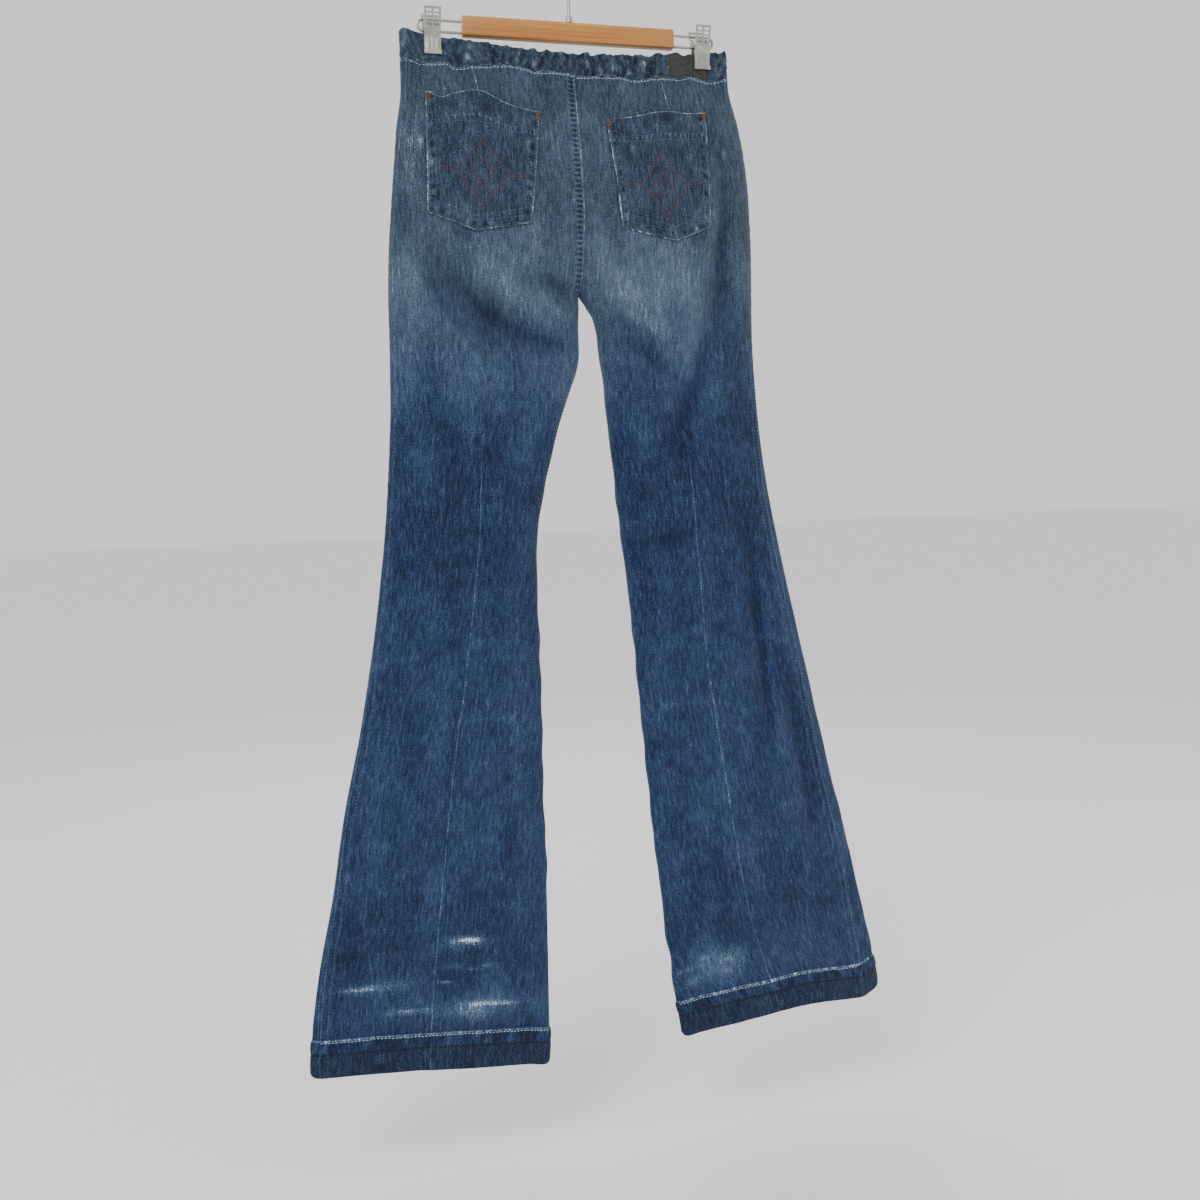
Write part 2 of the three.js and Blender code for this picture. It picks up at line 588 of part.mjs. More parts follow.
// One jaw of a clip, on the back of the cloth: a grip with ribs and a foot, and a handle with windows that leans out
const windows = { width: 5.4, height: 2.6, pitch: 4.2, rows: 4, top: 2.4, bridge: 2 };
function jawGeometry(overPatch = false) {
  const grip = casingThickness + 3 * restGap + (overPatch ? waistPatch.thickness + restGap : 0);
  const rise = clipTop - jaw.gripTop;
  const lean = Math.atan2(jaw.spread - grip, rise);
  const handleLength = Math.hypot(jaw.spread - grip, rise);
  const gripHeight = jaw.gripTop - clipBottom;
  const pinDepth = grip + (loop.middle - jaw.gripTop) * Math.tan(lean) + 0.4;
  const earDepth = pinDepth - spring.radius - restGap;
  const box = (x, y, z, width, depth, height) => new THREE.BoxGeometry(width, depth, height).translate(x, y, z);
  const leaning = (geometry) => geometry.rotateX(lean).translate(0, -grip, jaw.gripTop);
  const pieces = [
    leaning(box(0, -jaw.thickness / 2, handleLength / 2 - 0.5, clipWidth, jaw.thickness, handleLength + 1)),
    box(0, -grip - jaw.thickness / 2, clipBottom + gripHeight / 2, clipWidth, jaw.thickness, gripHeight),
    box(0, -grip - 0.9, clipBottom + jaw.footHeight / 2, clipWidth + 1, 1.8, jaw.footHeight),
  ];
  for (const side of [-1, 0, 1]) {
    pieces.push(box(side * 4.4, -grip - jaw.thickness, clipBottom + gripHeight / 2, 1.6, 2 * jaw.rib, gripHeight - 2));
  }
  const holes = [];
  for (const side of [-1, 1]) {
    pieces.push(box(side * (clipWidth / 2 - 0.4), earDepth / 2 - pinDepth, loop.middle, 0.8, earDepth, 7));
    for (let r = 0; r < windows.rows; r++) {
      const middle = handleLength - windows.top - windows.height / 2 - r * windows.pitch;
      const x = side * (windows.bridge + windows.width) / 2;
      holes.push(leaning(box(x, -jaw.thickness / 2, middle, windows.width, 3 * jaw.thickness, windows.height)));
    }
  }
  return join(pieces, holes);
}

const springGeometry = () => new THREE.CylinderGeometry(spring.radius, spring.radius, spring.length, 14)
  .rotateZ(PI / 2).translate(0, 0, loop.middle);

const finish = (color, roughness, metalness = 0) => new THREE.MeshStandardMaterial({ color, roughness, metalness });
const denim = finish('#35507a', 0.95);
const fadedDenim = finish('#4a6684', 0.95);
const darkDenim = finish('#2b3f55', 0.95);
const patchBrown = finish('#4a403c', 0.8);
const wood = finish('#b78656', 0.55);
const steel = finish('#a9aaa0', 0.35, 0.9);

const jeans = new THREE.Group();
function add(name, geometry, material, x = 0, z = -waistBelowHook) {
  const mesh = new THREE.Mesh(geometry, material);
  mesh.name = name;
  mesh.position.set(x, 0, z);
  jeans.add(mesh);
  return mesh;
}

for (const legName of ['left', 'right']) {
  add(`${legName}_back_panel`, legPanel(legName, 'back', 16), denim, 0, 0);
  add(`${legName}_front_panel`, legPanel(legName, 'front', 9), denim, 0, 0);
  add(`${legName}_back_casing`, casing(legName, 'back', 42), darkDenim, 0, 0);
  add(`${legName}_front_casing`, casing(legName, 'front', 36), darkDenim, 0, 0);
  add(`${legName}_back_pocket`, pocket(legName), fadedDenim, 0, 0);
}
add('waist_patch', waistPatchGeometry(), patchBrown, 0, 0);

add('hanger_bar', barGeometry(), wood, 0, bar.middle - waistBelowHook);
add('hanger_collar', collarGeometry(), steel);
add('hanger_hook', hookGeometry(), steel);
for (const [side, sign] of [['left', -1], ['right', 1]]) {
  add(`hanger_loop_${side}`, loopGeometry(sign), steel);
  add(`clip_${side}_back_jaw`, jawGeometry(side === 'right'), steel, sign * clipX);
  add(`clip_${side}_front_jaw`, jawGeometry(), steel, sign * clipX).rotation.z = PI;
  add(`clip_${side}_spring`, springGeometry(), steel, sign * clipX);
}

export default jeans;
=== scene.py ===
import math
import bpy
import numpy as np
from mathutils import Matrix, Vector


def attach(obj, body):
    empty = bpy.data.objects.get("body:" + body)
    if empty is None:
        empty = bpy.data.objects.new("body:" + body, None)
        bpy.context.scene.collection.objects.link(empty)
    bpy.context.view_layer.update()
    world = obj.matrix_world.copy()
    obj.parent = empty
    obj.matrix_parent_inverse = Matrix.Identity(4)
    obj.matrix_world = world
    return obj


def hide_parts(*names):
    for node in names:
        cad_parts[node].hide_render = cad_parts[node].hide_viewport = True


# Flared jeans on a clip hanger. Sizes are millimetres and become metres when a mesh is made.
# A drop is a distance down from the waist edge at the centre back.
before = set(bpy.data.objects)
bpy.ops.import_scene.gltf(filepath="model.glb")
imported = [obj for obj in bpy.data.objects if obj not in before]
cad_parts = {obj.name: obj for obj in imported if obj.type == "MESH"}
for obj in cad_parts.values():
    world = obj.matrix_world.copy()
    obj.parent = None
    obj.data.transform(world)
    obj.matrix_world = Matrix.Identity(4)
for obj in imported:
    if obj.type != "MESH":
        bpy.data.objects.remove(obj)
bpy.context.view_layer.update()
mm = 0.001

# Camera at the photograph's angle
cameraSet = dict(azimuth=-15.78, elevation=5.02, roll=-1.84, distance=1.4, target=(0.0133, 0, -0.6893),
                 lens=38.89)
azimuth, elevation, roll = (math.radians(cameraSet[key]) for key in ("azimuth", "elevation", "roll"))
toCamera = Vector((math.sin(azimuth) * math.cos(elevation), -math.cos(azimuth) * math.cos(elevation),
                   math.sin(elevation)))
levelRight = (-toCamera).cross(Vector((0, 0, 1))).normalized()
levelUp = levelRight.cross(-toCamera)
turned = (levelRight * math.cos(roll) + levelUp * math.sin(roll),
          levelUp * math.cos(roll) - levelRight * math.sin(roll), toCamera)
bpy.ops.object.camera_add()
camera = bpy.context.object
camera.matrix_world = (Matrix.Translation(Vector(cameraSet["target"]) + toCamera * cameraSet["distance"])
                       @ Matrix(turned).transposed().to_4x4())
camera.data.lens = cameraSet["lens"]
camera.data.clip_end = 50
bpy.context.scene.camera = camera
print("camera set")

# The garment
waist = dict(belowHook=120, casing=23, clipX=143.8,
             pinches=dict(left=dict(inward=(10, 42), outward=(12.5, 24), gathers=(10.5, 21)),
                          right=dict(inward=(10, 42), outward=(12.5, 28), gathers=(9, 20))))
seat = dict(crotch=246, curve=90)
hem = dict(height=40, rope=13, cornerRadius=7)
cloth = dict(panel=1.5, casing=2.3, pocket=1.9, patch=1.2)
legs = {
    "left": dict(
        sign=-1, hemDrop=1075, slope=0.056,
        inner=[(246, 0), (270, 0.6), (300, 1.6), (330, 6), (360, 18), (390, 29), (420, 37), (480, 51),
               (540, 55.5), (690, 55.5), (780, 57), (870, 57), (960, 58.5), (1020, 59), (1075, 61.5)],
        outer=[(0, 177), (50, 178), (90, 184), (150, 191), (210, 197), (246, 199), (270, 199.6),
               (300, 200), (330, 201), (360, 202), (390, 204), (420, 206.5), (480, 212.5), (540, 220.6),
               (600, 230.3), (690, 248), (780, 269.5), (870, 285), (960, 303), (1020, 312), (1075, 316.5)],
        seam=[(600, 0), (690, 1), (780, 2), (870, 3), (960, 5), (1020, 7), (1075, 8)],
        hemRise=[(0, 0), (0.1, 5), (0.3, 11), (0.6, 19), (0.8, 22), (1, 23)],
        crease=[(380, 108), (396, 112), (498, 119), (602, 133), (768, 160), (927, 180), (1012, 189),
                (1075, 193)]),
    "right": dict(
        sign=1, hemDrop=1068, slope=0.045,
        inner=[(246, 0), (256, 7), (270, 15.7), (300, 20), (360, 26.3), (420, 31.7), (480, 36.6),
               (540, 42.8), (600, 48.6), (690, 54.8), (780, 61.7), (870, 69.5), (960, 78.8), (1020, 86),
               (1068, 93)],
        outer=[(0, 173.5), (30, 174), (70, 184), (110, 190.6), (150, 194), (200, 195.3), (246, 195.2),
               (256, 195), (270, 194.8), (300, 195), (360, 199), (420, 205.3), (480, 215), (540, 227.2),
               (600, 240.5), (690, 260.5), (780, 280.7), (870, 301.2), (960, 318.5), (1020, 331.5),
               (1068, 337.5)],
        seam=[(300, 0), (360, 3), (420, 6), (480, 8), (540, 9), (600, 9), (690, 10), (780, 13), (870, 14),
              (960, 17), (1020, 20), (1068, 22)],
        hemRise=[(0, 0), (0.1, 5), (0.4, 14), (0.65, 19.5), (0.9, 17), (1, 24)],
        crease=[(385, 106), (400, 110), (508, 120), (618, 127), (799, 151), (950, 175), (1001, 189),
                (1068, 206)]),
}
depths = dict(
    back=[(0, 13), (25, 14), (60, 20), (100, 28), (150, 35), (200, 34), (246, 29), (300, 25), (360, 22),
          (480, 19), (700, 16), (950, 14), (1080, 12)],
    front=[(0, 13), (25, 13.5), (60, 15), (100, 17), (150, 19), (200, 20), (300, 20), (360, 20), (480, 18),
           (700, 15), (950, 13), (1080, 12)],
    square=[(0, 10), (25, 10), (60, 7), (100, 6), (150, 5), (200, 5), (246, 5.5), (300, 6), (480, 6),
            (700, 5), (1080, 5)])
seamDip = [(-180, 3.1), (-147, 2.2), (-131, 0.3), (-123, 4.9), (-113, 4.3), (-97, 2.4), (-66, -1.3),
           (-41, 1.3), (-14, -0.2), (5, 2.2), (42, 1.9), (67, 6), (89, 3), (112, 3), (130, -1.2),
           (143, 2.4), (152, 3.8), (175, 1.4)]
pockets = {
    "left": dict(innerTop=(40, 67), outerTop=(155, 55), innerBottom=(56, 179), tip=(113, 188),
                 outerBottom=(160, 170), rise=7, dip=4, gape=5, flat=(0.115, 0.128)),
    "right": dict(innerTop=(30, 70), outerTop=(140, 62), innerBottom=(40, 182), tip=(99, 194),
                  outerBottom=(138, 179), rise=3, dip=0, gape=2, flat=(0.108, 0.127)),
}
darts = dict(left=[(107, 20), (102, 52)], right=[(93, 21), (99, 58)])

# Largest folds, as in the solids: three points (distance from the centre line, drop), half width, rise
folds = {
    ("left", "back"): [
        ((178, 140), (174, 246), (60, 334), 15, -5), ((154, 190), (112, 302), (6, 304), 15, -8),
        ((120, 196), (82, 264), (6, 284), 13, 5), ((66, 222), (38, 246), (8, 256), 13, -5),
        ((168, 316), (152, 400), (126, 474), 16, -4), ((190, 530), (136, 512), (76, 532), 18, -4),
        ((290, 1030), (276, 950), (262, 860), 20, -4),
    ],
    ("right", "back"): [
        ((10, 76), (24, 150), (52, 250), 14, -5), ((8, 184), (44, 248), (120, 352), 15, 5),
        ((156, 70), (166, 342), (62, 432), 16, -8), ((22, 270), (76, 284), (118, 362), 14, -7),
        ((44, 518), (80, 512), (120, 500), 16, -4), ((170, 470), (196, 620), (208, 775), 16, -5),
        ((216, 630), (244, 760), (268, 890), 16, -4),
    ],
    ("left", "front"): [
        ((150, 70), (120, 190), (30, 260), 18, -5), ((172, 190), (110, 290), (20, 306), 18, -6),
        ((60, 526), (110, 510), (180, 526), 20, -4), ((230, 700), (246, 860), (270, 1010), 20, -4),
    ],
    ("right", "front"): [
        ((146, 66), (118, 180), (34, 252), 18, -5), ((166, 196), (118, 284), (36, 312), 18, -6),
        ((52, 536), (100, 520), (170, 540), 20, -4), ((196, 660), (226, 850), (250, 1000), 20, -4),
    ],
}
# Creases, finer than the solids
creases = {
    ("left", "back"): [
        ((172, 196), (160, 262), (98, 316), 6, -1.6), ((130, 236), (92, 292), (20, 300), 6, -2.2),
        ((56, 92), (70, 170), (78, 246), 7, 1.4), ((24, 82), (40, 150), (64, 232), 7, 1.6),
        ((46, 226), (30, 240), (10, 250), 5, -2.4), ((52, 240), (40, 262), (10, 276), 5, 1.6),
        ((96, 390), (92, 430), (80, 470), 7, -1.8), ((150, 492), (126, 484), (100, 497), 5, -1.8),
        ((178, 548), (140, 540), (108, 548), 5, -1.5), ((62, 828), (84, 852), (110, 872), 7, -1.6),
        ((66, 882), (88, 884), (110, 876), 6, -1.2), ((190, 620), (204, 690), (200, 760), 9, -1.4),
        ((96, 620), (86, 700), (92, 790), 9, 1.2), ((60, 26), (64, 44), (60, 60), 4, 1.0),
        ((30, 26), (34, 46), (28, 70), 5, -0.9),
    ],
    ("right", "back"): [
        ((24, 96), (34, 150), (44, 214), 7, 1.5), ((150, 100), (156, 190), (150, 282), 7, -2),
        ((28, 262), (60, 270), (92, 300), 5, 1.8), ((40, 292), (70, 306), (100, 344), 6, -2.4),
        ((136, 296), (126, 360), (96, 404), 7, -2), ((58, 400), (80, 398), (112, 372), 7, 1.4),
        ((46, 510), (76, 507), (110, 500), 5, -2.2), ((47, 556), (60, 559), (76, 567), 3, -2),
        ((60, 612), (88, 606), (124, 597), 5, -1.8), ((62, 730), (84, 736), (108, 730), 6, -1.5),
        ((68, 880), (78, 884), (90, 886), 6, -1.2), ((178, 480), (196, 620), (206, 760), 5, -2.4),
        ((186, 500), (206, 640), (222, 790), 7, 1.8), ((222, 650), (240, 760), (262, 880), 5, -1.8),
        ((136, 660), (150, 760), (152, 880), 10, 1.2), ((52, 28), (50, 44), (46, 62), 5, 0.9),
    ],
    ("left", "front"): [
        ((140, 96), (112, 180), (60, 238), 8, -1.8), ((70, 500), (110, 494), (160, 502), 6, -1.6),
        ((76, 556), (120, 548), (170, 560), 7, -1.4), ((120, 340), (136, 400), (124, 470), 8, -1.4),
    ],
    ("right", "front"): [
        ((136, 92), (110, 176), (62, 236), 8, -1.8), ((60, 506), (100, 498), (150, 508), 6, -1.6),
        ((66, 566), (110, 556), (160, 570), 7, -1.4), ((124, 350), (140, 410), (128, 480), 8, -1.4),
    ],
}


def mix(a, b, share):
    return a + (b - a) * share


def ramp(low, high, value):
    share = np.clip((value - low) / (high - low), 0, 1)
    return share * share * (3 - 2 * share)


def bell(value, width):
    return np.exp(-(value / width) ** 2)


# A smooth curve through rows of (place, value), which never overshoots them
def curve(rows, at):
    x, y = np.array(rows, float).T
    h = np.diff(x)
    d = np.diff(y) / h
    m = np.zeros(len(x))
    same = d[:-1] * d[1:] > 0
    m[1:-1][same] = 2 * d[:-1][same] * d[1:][same] / (d[:-1] + d[1:])[same]
    at = np.clip(np.asarray(at, float), x[0], x[-1])
    k = np.clip(np.searchsorted(x, at, side="right") - 1, 0, len(h) - 1)
    t = (at - x[k]) / h[k]
    return (y[k] * (2 * t ** 3 - 3 * t ** 2 + 1) + y[k + 1] * (3 * t ** 2 - 2 * t ** 3)
            + h[k] * (m[k] * (t ** 3 - 2 * t ** 2 + t) + m[k + 1] * (t ** 3 - t ** 2)))


# Uneven waves of about unit height and about one scale long
def waves(u, v, scale, seed, count=14):
    dice = np.random.default_rng(seed)
    total = np.zeros(np.broadcast(u, v).shape)
    for _ in range(count):
        angle, phase = dice.uniform(0, 2 * math.pi, 2)
        length = scale * dice.uniform(0.6, 1.7)
        total += np.sin(2 * math.pi * (u * math.cos(angle) + v * math.sin(angle)) / length + phase)
    return total / math.sqrt(count / 2)


def foldRise(table, legName, face, x, drop):
    total = np.zeros(np.shape(x))
    for start, bend, end, width, rise in table[legName, face]:
        t = np.linspace(0, 1, 25)[:, None]
        path = (1 - t) ** 2 * np.array(start) + 2 * t * (1 - t) * np.array(bend) + t ** 2 * np.array(end)
        low, high = path.min(0) - 3 * width, path.max(0) + 3 * width
        near = (x > low[0]) & (x < high[0]) & (drop > low[1]) & (drop < high[1])
        if not near.any():
            continue
        spots = np.stack([x[near], drop[near]], 1)
        best = np.full(len(spots), 1e9)
        along = np.zeros(len(spots))
        for k in range(24):
            a, step = path[k], path[k + 1] - path[k]
            s = np.clip((spots - a) @ step / (step @ step), 0, 1)
            distance = np.hypot(*(spots - a - s[:, None] * step).T)
            closer = distance < best
            best[closer] = distance[closer]
            along[closer] = (k + s[closer]) / 24
        total[near] += rise * bell(best, width) * np.sin(math.pi * np.clip(along, 0.001, 0.999)) ** 0.6
    return total


def awayFromPocket(legName, x, drop):
    shape = pockets[legName]
    middle = (shape["innerTop"][0] + shape["outerTop"][0] + shape["innerBottom"][0]
              + shape["outerBottom"][0]) / 4
    half = (shape["outerBottom"][0] - shape["innerTop"][0]) / 2
    top, bottom = shape["outerTop"][1] - shape["rise"], shape["tip"][1]
    radius = (((x - middle) / half) ** 4 + ((2 * drop - top - bottom) / (bottom - top)) ** 4) ** 0.25
    return ramp(1.05, 1.35, radius)


# Puckers of the elastic casing: lumps, leaning wrinkles and valleys, pressed flat by the clips and the patch
gathers = dict(spacing=15.5, lump=1.5, wrinkle=0.8, valley=1.3)


def gatherRise(legName, face, x, drop):
    seed = 3 + 2 * (legName == "right") + (face == "front")
    flat = ramp(*waist["pinches"][legName]["gathers"], np.abs(x - waist["clipX"]))
    if legName == "right" and face == "back":
        flat = flat * (1 - ramp(98, 104, x) * (1 - ramp(149, 155, x)))
    phase = (x / gathers["spacing"] + 0.3 * np.sin(x / 31)) * 2 * math.pi
    lumps = gathers["lump"] * (0.8 + 0.2 * np.sin(x / 17)) * np.cos(phase)
    lean = x + 0.5 * drop * np.sin(x / 23 + seed)
    fine = gathers["wrinkle"] * waves(lean, drop * 0.3, 8, seed)
    sharp = gathers["valley"] * (0.55 - np.abs(waves(lean, drop * 0.45, 15, seed + 20)))
    return flat * (lumps + fine + sharp)


# Points of the cloth's outer face. Turn 0 is the back's inner edge, 1 the outer fold, 2 the front's
def clothPoint(legName, turn, drop, gathered=False):
    leg = legs[legName]
    inner, outer = curve(leg["inner"], drop), curve(leg["outer"], drop)
    across = (1 - np.cos(math.pi * turn)) / 2
    x = mix(inner, outer, across)
    square = curve(depths["square"], drop)
    closing = np.clip((drop - (seat["crotch"] - seat["curve"])) / seat["curve"], 0, 1) ** 2
    innerEnd = 1 - closing + closing * (1 - (1 - across) ** square)
    shape = np.sqrt(np.maximum(0, (1 - across ** square) * innerEnd))
    depth = np.zeros(np.shape(x))
    for face, here in (("back", turn < 1), ("front", turn >= 1)):
        rise = foldRise(folds, legName, face, x, drop)
        if face == "back":
            rise = rise * awayFromPocket(legName, x, drop)
        depth += here * (curve(depths[face], drop) + rise)
    depth *= shape
    away = np.abs(x - waist["clipX"])
    reach = waist["pinches"][legName]
    free = np.where(x > waist["clipX"], ramp(*reach["outward"], away), ramp(*reach["inward"], away))
    pinch = (1 - free) * (1 - ramp(20, 60, drop)) * ramp(0, 0.35, shape)
    depth = mix(depth, 3.2, pinch)
    face = "back" if np.mean(turn) < 1 else "front"
    if gathered:
        depth += gatherRise(legName, face, x, drop) * ramp(0, 0.7, shape)
    lift = leg["slope"] * x * (1 - ramp(waist["casing"], 130, drop))
    top = 4.5 * ramp(80, 150, x) + 2 * ramp(140, 165, x) - 2.5
    lift += top * np.clip(1 - drop / (waist["casing"] - 0.3), 0, 1)
    lift += curve(leg["hemRise"], across) * ramp(leg["hemDrop"] - 320, leg["hemDrop"], drop)
    dip = curve(seamDip, leg["sign"] * x)
    if face == "front":
        atSide = ramp(140, 172, x)
        dip = curve(seamDip, leg["sign"] * outer) * atSide + 0.8 * waves(x, 0, 30, 71) * (1 - atSide)
    lift -= dip * ramp(2, 23, drop) * (1 - ramp(23, 52, drop))
    lift += 0.7 * waves(leg["sign"] * x, 0, 16, 72) * (1 - ramp(0, 12, drop)) * ramp(9, 20, away)
    nearHem = 1 - ramp(0, 34, leg["hemDrop"] - drop)
    for edge in (outer - x, x - inner):
        s = np.clip(1 - edge / hem["cornerRadius"], 0, 1)
        lift += hem["cornerRadius"] * (1 - np.sqrt(1 - s * s)) * nearHem * 0.8
    height = lift - waist["belowHook"] - drop
    return np.stack([leg["sign"] * x, np.where(turn < 1, -depth, depth), height], -1)


def sideTurn(legName, drop):
    leg = legs[legName]
    width = curve(leg["outer"], drop) - curve(leg["inner"], drop)
    return np.arccos(2 * curve(leg["seam"], drop) / width - 1) / math.pi


def unit(vectors):
    return vectors / np.maximum(np.linalg.norm(vectors, axis=-1, keepdims=True), 1e-9)


# A grid of points with normals, and places between them by row and column
class Surface:
    def __init__(self, points, outward):
        self.points = points
        normals = unit(np.cross(np.gradient(points, axis=0), np.gradient(points, axis=1)))
        self.normals = normals if np.mean(normals[..., 1]) * outward > 0 else -normals

    def at(self, row, column, height=0.0):
        row, column = np.broadcast_arrays(np.asarray(row, float), np.asarray(column, float))
        r = np.clip(row.astype(int), 0, self.points.shape[0] - 2)
        c = np.clip(column.astype(int), 0, self.points.shape[1] - 2)
        a, b = (row - r)[..., None], (column - c)[..., None]

        def blend(grid):
            return mix(mix(grid[r, c], grid[r, c + 1], b), mix(grid[r + 1, c], grid[r + 1, c + 1], b), a)

        normal = unit(blend(self.normals))
        return blend(self.points) + normal * height, normal


# Cloth of one leg's back or front: rows of drops, columns from the inner edge to the side seam
class Sheet(Surface):
    def __init__(self, legName, face, drops, columns, gathered=False):
        self.legName, self.face, self.drops = legName, face, np.asarray(drops, float)
        self.shares = np.linspace(0, 1, columns + 1)
        if not gathered:
            self.shares = self.shares + 0.05 * np.sin(2 * math.pi * self.shares)
        self.start = 0.0 if face == "back" else 2.0
        end = np.ones(len(self.drops)) if gathered else sideTurn(legName, self.drops)
        self.end = np.clip(end, 0, 1 - 1e-6) if face == "back" else end
        turn = mix(self.start, self.end[:, None], self.shares[None])
        self.drop = np.broadcast_to(self.drops[:, None], turn.shape).copy()
        super().__init__(clothPoint(legName, turn, self.drop, gathered), -1 if face == "back" else 1)
        self.x = np.abs(self.points[..., 0])
        steps = np.linalg.norm(np.diff(self.points, axis=1), axis=2)
        self.fromInner = np.concatenate([np.zeros((len(drops), 1)), np.cumsum(steps, 1)], 1)
        self.fromSide = self.fromInner[:, -1:] - self.fromInner
        self.aboveHem = legs[legName]["hemDrop"] - self.drop
        quads = np.cross(np.diff(self.points, axis=0)[:, :-1], np.diff(self.points, axis=1)[:-1])
        self.area = float(np.linalg.norm(quads, axis=2).sum()) * mm * mm

    def lifted(self, relief):
        self.relief = relief
        self.points = self.points + self.normals * relief[..., None]

    # Row and column of a place given by its distance from the centre line and its drop
    def find(self, x, drop):
        x, drop = np.broadcast_arrays(np.asarray(x, float), np.asarray(drop, float))
        leg = legs[self.legName]
        inner, outer = curve(leg["inner"], drop), curve(leg["outer"], drop)
        turn = np.arccos(1 - 2 * np.clip((x - inner) / (outer - inner), 0, 1)) / math.pi
        if self.face == "front":
            turn = 2 - turn
        row = np.interp(drop, self.drops, np.arange(len(self.drops)))
        end = np.interp(drop, self.drops, self.end)
        column = np.interp((turn - self.start) / (end - self.start), self.shares,
                           np.arange(len(self.shares)))
        return row, column

    # Rows and columns that run at a distance beside the side seam or the inner edge
    def beside(self, distances, distance, low, high):
        rows = np.flatnonzero((self.drops >= low) & (self.drops <= high))
        columns = []
        for r in rows:
            line = distances[r]
            order = np.argsort(line)
            columns.append(np.interp(distance, line[order], order))
        return rows.astype(float), np.array(columns)


# A new object in the scene, the only one selected
def placed(name, data):
    piece = bpy.data.objects.new(name, data)
    bpy.context.collection.objects.link(piece)
    bpy.ops.object.select_all(action="DESELECT")
    piece.select_set(True)
    bpy.context.view_layer.objects.active = piece
    return piece


# A closed shell: a grid primitive moved onto the points, then given its thickness
def shellPiece(name, surface, thickness, uv, layers):
    rows, columns = surface.points.shape[:2]
    bpy.ops.object.select_all(action="DESELECT")
    bpy.ops.mesh.primitive_grid_add(x_subdivisions=columns - 1, y_subdivisions=rows - 1, size=1)
    piece = bpy.context.object
    piece.name = piece.data.name = name
    mesh = piece.data
    coords = np.empty(len(mesh.vertices) * 3)
    mesh.vertices.foreach_get("co", coords)
    coords = coords.reshape(-1, 3)
    c = np.rint((coords[:, 0] + 0.5) * (columns - 1)).astype(int)
    r = np.rint((0.5 - coords[:, 1]) * (rows - 1)).astype(int)
    mesh.vertices.foreach_set("co", (surface.points[r, c] * mm).ravel())
    layer = mesh.uv_layers.active or mesh.uv_layers.new(name="clothMetres")
    layer.name = "clothMetres"
    corners = np.empty(len(mesh.loops), int)
    mesh.loops.foreach_get("vertex_index", corners)
    layer.data.foreach_set("uv", (uv[r, c] * mm)[corners].ravel())
    for key, values in layers.items():
        attribute = mesh.attributes.new(key, "FLOAT", "POINT")
        values = np.broadcast_to(values, (rows, columns))[r, c].astype(np.float32)
        attribute.data.foreach_set("value", values.ravel())
    mesh.update()
    facing = Vector(surface.normals[rows // 2, columns // 2])
    if facing.dot(mesh.polygons[len(mesh.polygons) // 2].normal) < 0:
        mesh.flip_normals()
    thicken = piece.modifiers.new("thickness", "SOLIDIFY")
    thicken.thickness = thickness * mm
    thicken.offset = -1
    bpy.ops.object.modifier_apply(modifier=thicken.name)
    bpy.ops.object.shade_smooth()
    return piece


# Shader maths: a socket with the operators that add Math nodes
class Wire:
    def __init__(self, finish, socket):
        self.finish, self.socket = finish, socket

    def maths(self, operation, first, second=0.0, third=0.0):
        return self.finish.node("ShaderNodeMath", {"operation": operation}, {0: first, 1: second, 2: third})

    def __add__(self, other):
        return self.maths("ADD", self, other)

    def __sub__(self, other):
        return self.maths("SUBTRACT", self, other)

    def __mul__(self, other):
        return self.maths("MULTIPLY", self, other)

    def __rsub__(self, other):
        return self.maths("SUBTRACT", other, self)

    __radd__, __rmul__ = __add__, __mul__

    def __abs__(self):
        return self.maths("ABSOLUTE", self)

    def within(self, low, high):
        return self.maths("MINIMUM", self.maths("MAXIMUM", self, low), high)

    # 0 to 1 as the value goes from low to high, or 1 to 0 where low is above high
    def fadeIn(self, low, high):
        rising = low < high
        return self.finish.node(
            "ShaderNodeMapRange", {"interpolation_type": "SMOOTHSTEP"},
            {"Value": self, "From Min": min(low, high), "From Max": max(low, high),
             "To Min": 0.0 if rising else 1.0, "To Max": 1.0 if rising else 0.0})


